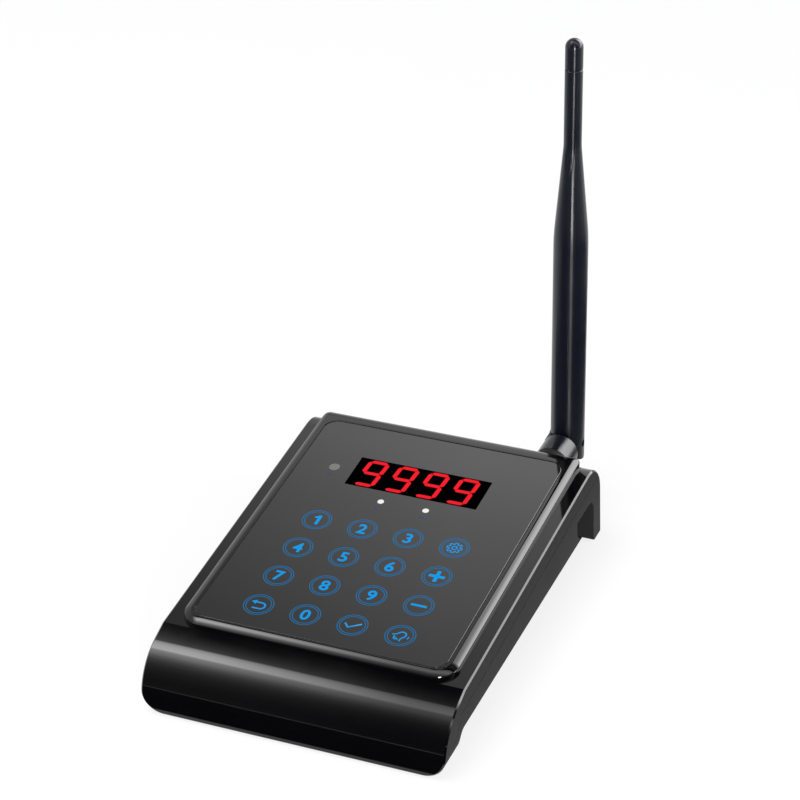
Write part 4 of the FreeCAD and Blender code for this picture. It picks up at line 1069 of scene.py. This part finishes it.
@dataclass
class Display:
    """The four-digit display as it shows through its window.

    Attributes:
        frame: the slope that it lies on.
        middle: its middle up the slope.
        width: of the window.
        depth: of the window.
        corner: radius of its corners.
        step: between digits.
        digit_width: of one digit.
        digit_height: of one digit.
        bar: width of a bar.
        gap: between bars.
        slant: lean of the digits in degrees.
        left: how far the digits stand left of the window's middle.
        above: how far the window and the digits stand off the glass.
        marks: what models the window and the bars.
    """

    frame: PanelFrame
    middle: float = 60.25
    width: float = 55.2
    depth: float = 17.9
    corner: float = 0.3
    step: float = 12.86
    digit_width: float = 8.9
    digit_height: float = 16.6
    bar: float = 1.75
    gap: float = 0.14
    slant: float = 4.0
    left: float = 0.5
    above: tuple[float, float] = (0.02, 0.05)
    marks: Marks = field(default_factory=Marks)

    def window(self) -> None:
        """Model the dark window."""
        plate = self.marks.plate(self.width, self.depth, self.corner)
        settle(plate, self.frame.matrix(0, self.middle, self.above[0]))
        finish_piece(plate, "display_window", Body.CONSOLE, WINDOW_BLACK)

    def bar_piece(self, length: float, turn: float) -> bpy.types.Object:
        """Model one bar: a strip whose ends come to a point.

        Args:
            length: from point to point.
            turn: 0 for a level bar, 90 for an upright one.

        Returns:
            The bar's mesh about its middle.
        """
        piece = rectangle(length - self.bar, self.bar)
        for side in (1, -1):
            pick(piece, "EDGE", lambda edge, s=side: all(
                piece.data.vertices[i].co.x * s > TINY_MM * MM for i in edge.vertices))
            bpy.ops.mesh.extrude_region_move(
                TRANSFORM_OT_translate={"value": (side * self.bar / 2 * MM, 0, 0)})
            bpy.ops.mesh.merge(type="CENTER")
        self.marks.thicken(piece)
        settle(piece, Matrix.Rotation(math.radians(turn), 4, "Z"))
        return piece

    def digit(self, lit: str) -> bpy.types.Object:
        """Model the lit bars of one digit.

        Args:
            lit: names of its lit bars, "a" to "g".

        Returns:
            The digit's mesh about its middle.
        """
        wide = (self.digit_width - self.bar) / 2
        tall = (self.digit_height - self.bar) / 2
        level = self.bar_piece(2 * wide - 2 * self.gap, 0)
        upright = self.bar_piece(tall - 2 * self.gap, 90)
        layout = {
            "a": (0, tall, level), "g": (0, 0, level), "d": (0, -tall, level),
            "b": (wide, tall / 2, upright), "c": (wide, -tall / 2, upright),
            "f": (-wide, tall / 2, upright), "e": (-wide, -tall / 2, upright),
        }
        bars: list[bpy.types.Object] = []
        for name in lit:
            x, y, model = layout[name]
            bars.append(twin(model))
            settle(bars[-1], Matrix.Translation(Vector((x, y, 0)) * MM))
        for model in (level, upright):
            bpy.data.objects.remove(model)
        return join(bars, "digit")

    def build(self) -> None:
        """Model the window and four lit digits that read nine."""
        self.window()
        model = self.digit("abcdfg")
        lean = Matrix.Identity(4)
        lean[0][1] = math.tan(math.radians(self.slant))
        model.data.transform(lean)
        for index in range(4):
            piece = twin(model)
            u = (index - 1.5) * self.step - self.left
            settle(piece, self.frame.matrix(u, self.middle, self.above[1]))
            finish_piece(piece, f"lit_digit_{index + 1}", Body.CONSOLE, LIT_RED)
        bpy.data.objects.remove(model)


@dataclass
class Antenna:
    """The folding antenna: turning base, sleeve and domed tip.

    Attributes:
        elbow: the elbow's pivot in the row frame.
        lean: the sleeve's lean at rest, in degrees.
        cut: height over the pivot from which the sleeve is drawn anew.
        barrel: radius of the thick part.
        stem: radius of the thin part.
        taper: heights between which it narrows.
        blend: length of the taper's rounded ends.
        rings: how many steps the taper is drawn in.
        stem_end: height of the stem's end.
        tip_end: height of the dome's top.
        dome: turns at which the dome is drawn, in degrees from level.
        sides: corners of the tip.
        bore: radius of the hole for the radiating rod.
        spigot: radius of the tip's spigot.
        spigot_end: height of the spigot's lower end.
        groove: depth and height of the groove under the tip.
        eased: chamfers of the stem's end and of the tip.
        play: room round the spigot, and under it.
        softened: rounding of the turning base's edges.
        crease: edges of the sleeve and the tip sharper than this many degrees stay sharp.
    """

    elbow: tuple[float, float, float] = (39.55, 85.6643, 26.9)
    lean: float = 4.0
    cut: float = 78.0
    barrel: float = 6.85
    stem: float = 3.49
    taper: tuple[float, float] = (86.0, 130.2)
    blend: tuple[float, float] = (10.0, 3.0)
    rings: int = 24
    stem_end: float = 160.0
    tip_end: float = 172.3
    dome: tuple[int, ...] = (10, 20, 30, 40, 50, 60, 68, 75, 81, 86)
    sides: int = 48
    bore: float = 1.1
    spigot: float = 1.6
    spigot_end: float = 155.0
    groove: float = 0.4
    eased: tuple[float, float] = (0.2, 0.15)
    play: tuple[float, float] = (0.05, 0.1)
    softened: float = 0.35
    crease: float = 40.0

    def place(self) -> Matrix:
        """Return the matrix from the sleeve's own frame, pivot at 0, to the row frame."""
        return (Matrix.Translation(Vector(self.elbow) * MM)
                @ Matrix.Rotation(math.radians(-self.lean), 4, "X"))

    def base(self, node: bpy.types.Object) -> None:
        """Model the turning base with its edges softened.

        Args:
            node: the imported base.
        """
        piece = merged_copy(node)
        modify(piece, "BEVEL", width=self.softened * MM, segments=2, limit_method="ANGLE",
               angle_limit=math.radians(CREASE))
        shade(piece)
        finish_piece(piece, "antenna_knuckle_base", Body.SWIVEL, ANTENNA_SATIN,
                     ["antenna_base"])

    def _narrowing(self) -> list[tuple[float, float]]:
        """Draw the taper as a cone with rounded ends.

        Returns:
            Radius and height along it.
        """
        low, high = self.taper
        first, last = self.blend
        slope = (self.barrel - self.stem) / (high - low - (first + last) / 2)
        places: list[tuple[float, float]] = []
        for step in range(1, self.rings):
            height = low + (high - low) * step / self.rings
            if height < low + first:
                radius = self.barrel - slope * (height - low) ** 2 / (2 * first)
            elif height > high - last:
                radius = self.stem + slope * (high - height) ** 2 / (2 * last)
            else:
                radius = self.barrel - slope * (height - low - first / 2)
            places.append((radius, height))
        return places

    def _grow(
        self, profile: Iterable[tuple[float, float]], start: tuple[float, float]
    ) -> None:
        """Extrude the chosen loop along the axis, ring by ring.

        Args:
            profile: radius and height of each new ring.
            start: radius and height of the chosen loop.
        """
        radius, height = start
        for wide, high in profile:
            bpy.ops.mesh.extrude_region_move(
                TRANSFORM_OT_translate={"value": (0, 0, (high - height) * MM)})
            bpy.ops.transform.resize(value=(wide / radius, wide / radius, 1),
                                     center_override=(0, 0, high * MM))
            radius, height = wide, high

    def sleeve(self, node: bpy.types.Object) -> None:
        """Model the sleeve: its half of the elbow, the barrel, the taper and the stem.

        Args:
            node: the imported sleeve.
        """
        piece = merged_copy(node)
        settle(piece, self.place().inverted())
        with editing(piece):
            bpy.ops.mesh.bisect(plane_co=(0, 0, self.cut * MM), plane_no=(0, 0, 1),
                                clear_outer=True)

        def rim(edge: Any, inner: bool) -> bool:
            """Say whether an edge of the cut belongs to the bore or to the outside.

            Args:
                edge: an edge of the sleeve.
                inner: whether the bore's edges are wanted.

            Returns:
                Whether it is one of those wanted.
            """
            ends = [piece.data.vertices[i].co for i in edge.vertices]
            on_cut = all(abs(end.z - self.cut * MM) < TINY_MM * MM for end in ends)
            return on_cut and (ends[0].xy.length < self.barrel / 2 * MM) == inner

        mouth = self.spigot + self.play[0]
        floor = self.spigot_end - self.play[1]
        pick(piece, "EDGE", lambda edge: rim(edge, False))
        self._grow([(self.barrel, self.taper[0]), *self._narrowing(),
                    (self.stem, self.taper[1]),
                    (self.stem, self.stem_end - self.eased[0]),
                    (self.stem - self.eased[0], self.stem_end),
                    (mouth, self.stem_end), (mouth, floor)], (self.barrel, self.cut))
        pick(piece, "EDGE", lambda edge: rim(edge, True))
        self._grow([(self.bore, floor)], (self.bore, self.cut))
        bpy.ops.mesh.select_all(action="DESELECT")
        bpy.ops.mesh.select_non_manifold(extend=False)
        bpy.ops.mesh.bridge_edge_loops()
        mend(piece, doubles=False)
        settle(piece, self.place())
        shade(piece, self.crease)
        finish_piece(piece, "antenna_sleeve", Body.BLADE, ANTENNA_SATIN,
                     ["antenna_blade"])

    def tip(self) -> None:
        """Model the tip: spigot, fine groove and round dome."""
        piece = circle(self.spigot, self.sides)
        settle(piece, Matrix.Translation(Vector((0, 0, self.spigot_end)) * MM))
        pick(piece, "FACE", lambda face: True)
        middle = self.tip_end - self.stem
        neck = self.stem - self.groove
        lip = self.stem_end + self.groove
        eased = self.eased[1]
        self._grow([(self.spigot, self.stem_end), (neck, self.stem_end), (neck, lip),
                    (self.stem - eased, lip), (self.stem, lip + eased),
                    (self.stem, middle), *arc(self.stem, (0.0, middle), self.dome)],
                   (self.spigot, self.spigot_end))
        bpy.ops.mesh.merge(type="CENTER")
        mend(piece, doubles=False)
        settle(piece, self.place())
        shade(piece, self.crease)
        finish_piece(piece, "antenna_domed_tip", Body.BLADE, ANTENNA_SATIN,
                     ["antenna_cap"])

    def build(self, nodes: dict[str, bpy.types.Object]) -> None:
        """Put the antenna's pieces in place of their nodes.

        Args:
            nodes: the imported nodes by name.
        """
        self.base(nodes["antenna_base"])
        self.sleeve(nodes["antenna_blade"])
        self.tip()


# ---------------------------------------------------------------------- studio
@dataclass(frozen=True)
class Softbox:
    """A rectangular lamp.

    Attributes:
        name: of the lamp.
        place: its middle, in metres.
        aim: the point it faces.
        size: width and height, in metres.
        power: in watts.
        shown: whether gloss reflects it; the surroundings stand in for the others.
    """

    name: str
    place: tuple[float, float, float]
    aim: tuple[float, float, float]
    size: tuple[float, float]
    power: float
    shown: bool = False

    def hang(self) -> None:
        """Hang the lamp, facing its aim."""
        data = bpy.data.lights.new(self.name, "AREA")
        data.shape = "RECTANGLE"
        data.size, data.size_y = self.size
        data.energy = self.power
        lamp = into_scene(bpy.data.objects.new(self.name, data))
        lamp.location = self.place
        lamp.visible_glossy = self.shown
        way = Vector(self.aim) - Vector(self.place)
        lamp.rotation_euler = way.to_track_quat("-Z", "Y").to_euler()


@dataclass(frozen=True)
class Flag:
    """A matt black strip beside the console, which only gloss sees: it paints dark reflections
    into the glossy surfaces near it.

    Attributes:
        name: of the strip.
        size: its two sides in metres.
        place: its middle on the floor.
        lift: how far it lies above the floor.
    """

    name: str
    size: tuple[float, float]
    place: tuple[float, float]
    lift: float = 0.0003

    def lay(self) -> None:
        """Lay the strip down."""
        strip = rectangle(*(side / MM for side in self.size))
        strip.name = self.name
        settle(strip, Matrix.Translation((*self.place, self.lift)))
        with editing(strip):
            bpy.ops.mesh.subdivide(number_cuts=2)
        strip.data.materials.append(PAINTED_REFLECTION_BLACK.material())
        # Hidden from the camera, from lamps' light and from shadows: the strip only paints
        # dark reflections.
        strip.visible_camera = strip.visible_diffuse = False
        strip.visible_shadow = strip.visible_transmission = False


@dataclass
class Studio:
    """Floor, lamps, surroundings and camera.

    Attributes:
        lens: focal length on the sensor.
        sensor: its width, in millimetres.
        clip: nearest and farthest distance that the camera sees.
        camera_place: where the camera stands, in metres.
        camera_turn: its turns about X, Y and Z, in degrees.
        floor_side: size of the floor, in metres.
        floor_white: share of plain white in what is seen of the floor.
        sweep: brightness of the surroundings along an arc from the front over the top to
            the rear, as degrees from straight up and level.
        peak: the brightest level in that arc.
        overhead: how the softbox overhead falls off to the left, as parts of the direction
            to the right and levels.
        wall: how the rear wall does.
        flank: how much the rear wall gains on the right.
        wall_from: turn from straight up at which the rear wall begins, in radians.
        aside: where the left side's even level takes over.
        aside_level: that level.
        fill: level of the surroundings that light what is matt.
        lamps: the softboxes.
        flags: the black strips that paint dark reflections.
    """

    lens: float = 127.26
    sensor: float = 36.0
    clip: tuple[float, float] = (0.05, 60.0)
    camera_place: tuple[float, float, float] = (0.3703733, -0.8173055, 0.6471085)
    camera_turn: tuple[float, float, float] = (58.05384, 2.26455, 22.69305)
    floor_side: float = 14.0
    floor_white: float = 0.8
    sweep: tuple[tuple[float, float], ...] = (
        (-90, 0.12), (-75, 0.10), (-63, 0.15), (-51, 0.27), (-41, 0.5), (-31, 1.1),
        (-23, 2.4), (-15, 5.0), (-9, 8.4), (-3, 10.6), (3, 9.2), (8, 7.0), (10.6, 4.6),
        (12.2, 0.03), (34, 0.03), (40, 0.45), (42.8, 0.75), (44.2, 0.98), (45.9, 1.25),
        (47.1, 1.55), (51, 1.65), (60, 1.35), (76, 1.0), (90, 1.0))
    peak: float = 11.0
    overhead: Band = ((-0.395, -0.325), (1.0, 0.28))
    wall: Band = ((-0.42, -0.32), (0.6, 1.05))
    flank: Band = ((0.0, 0.05), (0.0, 5.0))
    wall_from: float = 0.35
    aside: Band = ((-0.48, -0.66), (0.0, 1.0))
    aside_level: float = 0.9
    fill: float = 0.55
    lamps: tuple[Softbox, ...] = (
        Softbox("overhead softbox", (-0.35, -0.25, 1.3), (0, 0, 0.02), (1.3, 0.8), 16),
        Softbox("side softbox", (1.3, 0.5, 0.7), (0, 0, 0.05), (0.5, 0.9), 6),
        Softbox("front softbox", (0.62, -1.15, 0.22), (0.04, 0.09, 0.1), (0.3, 0.5), 18,
                shown=True))
    flags: tuple[Flag, ...] = (Flag("front_dark_reflection_flag", (1.6, 0.7), (-0.2, -0.4535)),
                               Flag("side_dark_reflection_flag", (0.42, 0.36), (0.29, 0.08)))

    def camera(self) -> None:
        """Set up the camera."""
        data = bpy.data.cameras.new("camera")
        data.lens = self.lens
        data.sensor_width = self.sensor
        data.clip_start, data.clip_end = self.clip
        camera = into_scene(bpy.data.objects.new("camera", data))
        camera.location = self.camera_place
        camera.rotation_euler = [math.radians(turn) for turn in self.camera_turn]
        bpy.context.scene.camera = camera

    def floor(self) -> None:
        """Lay the pale floor, shown white apart from the object's shadow."""
        plane = rectangle(self.floor_side / MM, self.floor_side / MM)
        plane.name = "studio_floor"
        with editing(plane):
            bpy.ops.mesh.subdivide(number_cuts=3)
        # Seamless background paper: matt and pale, and all but white where it is seen.
        made = bpy.data.materials.new("matt studio paper")
        made.use_nodes = True
        tree = made.node_tree
        tree.nodes.clear()
        diffuse = add_node(tree, "ShaderNodeBsdfDiffuse", {"Color": srgb("e9e9e9")})
        white = add_node(tree, "ShaderNodeEmission", {"Color": srgb(WHITE), "Strength": 1.0})
        path = add_node(tree, "ShaderNodeLightPath").outputs
        share = add_node(
            tree, "ShaderNodeMath", {"operation": "MULTIPLY", 1: self.floor_white},
            {0: self._seen(tree, path)},
        ).outputs[0]
        mix = add_node(tree, "ShaderNodeMixShader", links={
            0: share, 1: diffuse.outputs[0], 2: white.outputs[0]})
        add_node(tree, "ShaderNodeOutputMaterial", links={"Surface": mix.outputs[0]})
        plane.data.materials.append(made)

    def _seen(
        self, tree: bpy.types.NodeTree, path: bpy.types.bpy_prop_collection
    ) -> bpy.types.NodeSocket:
        """Tell rays that show the background from rays that light the object.

        Args:
            tree: the node tree that gets the nodes.
            path: outputs of its Light Path node.

        Returns:
            Socket that is 1 for camera, glossy and transmission rays.
        """
        seen = path["Is Camera Ray"]
        for kind in ("Is Glossy Ray", "Is Transmission Ray"):
            seen = add_node(tree, "ShaderNodeMath", {"operation": "MAXIMUM"},
                            {0: seen, 1: path[kind]}).outputs[0]
        return seen

    def _arc(
        self, tree: bpy.types.NodeTree, angle: bpy.types.NodeSocket
    ) -> bpy.types.NodeSocket:
        """Shade the surroundings along the arc from the front over the top to the rear.

        Args:
            tree: the world's node tree.
            angle: socket with the turn from straight up, in radians.

        Returns:
            Socket with the brightness as a share of the peak.
        """
        turn = add_node(
            tree, "ShaderNodeMapRange",
            {"From Min": -math.pi / 2, "From Max": math.pi / 2, "To Min": 0.0, "To Max": 1.0},
            {"Value": angle},
        ).outputs["Result"]
        node = add_node(tree, "ShaderNodeValToRGB", links={0: turn})
        stops = node.color_ramp.elements
        while len(stops) > 1:
            stops.remove(stops[-1])
        for index, (degrees, level) in enumerate(self.sweep):
            position = (degrees + 90) / 180
            stop = stops[0] if index == 0 else stops.new(position)
            stop.position = position
            stop.color = (*[level / self.peak] * 3, 1)
        return node.outputs["Color"]

    def surroundings(self) -> None:
        """Light the scene all round.

        Gloss sees a long softbox overhead and a pale rear wall, the camera sees white and
        matt surfaces are lit evenly.
        """
        world = bpy.data.worlds.new("studio")
        bpy.context.scene.world = world
        world.use_nodes = True
        tree = world.node_tree
        tree.nodes.clear()
        path = add_node(tree, "ShaderNodeLightPath").outputs
        way = add_node(tree, "ShaderNodeTexCoord").outputs["Generated"]
        part = add_node(tree, "ShaderNodeSeparateXYZ", links={0: way}).outputs
        angle = add_node(tree, "ShaderNodeMath", {"operation": "ARCTAN2"},
                         {0: part["Y"], 1: part["Z"]}).outputs[0]
        overhead, wall, flank, aside = (
            add_node(
                tree, "ShaderNodeMapRange",
                {"From Min": start, "From Max": end, "To Min": low, "To Max": high},
                {"Value": part["X"]},
            ).outputs["Result"]
            for (start, end), (low, high) in (
                self.overhead, self.wall, self.flank, self.aside))
        wall = add_node(tree, "ShaderNodeMath", {"operation": "ADD"},
                        {0: wall, 1: flank}).outputs[0]
        behind = add_node(
            tree, "ShaderNodeMath", {"operation": "GREATER_THAN", 1: self.wall_from},
            {0: angle},
        ).outputs[0]
        factor = add_node(tree, "ShaderNodeMix", {"data_type": "FLOAT"},
                          {0: behind, 2: overhead, 3: wall}).outputs[0]
        level = add_node(tree, "ShaderNodeMath", {"operation": "MULTIPLY"},
                         {0: factor, 1: self._arc(tree, angle)}).outputs[0]
        level = add_node(tree, "ShaderNodeMath", {"operation": "MULTIPLY", 1: self.peak},
                         {0: level}).outputs[0]
        strength = add_node(tree, "ShaderNodeMix", {"data_type": "FLOAT", 3: self.aside_level},
                            {0: aside, 2: level}).outputs[0]
        gloss = add_node(tree, "ShaderNodeBackground", {"Color": srgb(WHITE)},
                         {"Strength": strength})
        white = add_node(tree, "ShaderNodeBackground",
                         {"Color": srgb(WHITE), "Strength": 1.0})
        backdrop = add_node(tree, "ShaderNodeMixShader", links={
            0: path["Is Camera Ray"], 1: gloss.outputs[0], 2: white.outputs[0]})
        fill = add_node(tree, "ShaderNodeBackground",
                        {"Color": srgb("f4f6f8"), "Strength": self.fill})
        mix = add_node(tree, "ShaderNodeMixShader", links={
            0: self._seen(tree, path), 1: fill.outputs[0], 2: backdrop.outputs[0]})
        add_node(tree, "ShaderNodeOutputWorld", links={"Surface": mix.outputs[0]})

    def build(self) -> None:
        """Set up the whole studio."""
        bpy.context.scene.view_settings.view_transform = "Standard"
        self.surroundings()
        self.floor()
        for flag in self.flags:
            flag.lay()
        for lamp in self.lamps:
            lamp.hang()
        self.camera()


def main() -> None:
    """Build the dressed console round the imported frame."""
    logging.basicConfig(level=logging.INFO, format="%(name)s: %(message)s")
    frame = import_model()
    nodes = frame["nodes"]
    slope = PanelFrame()
    Housing(slope).build(nodes)
    TouchPanel(slope).build()
    Display(slope).build()
    Antenna().build(nodes)
    Studio().build()


if __name__ == "__main__":
    main()
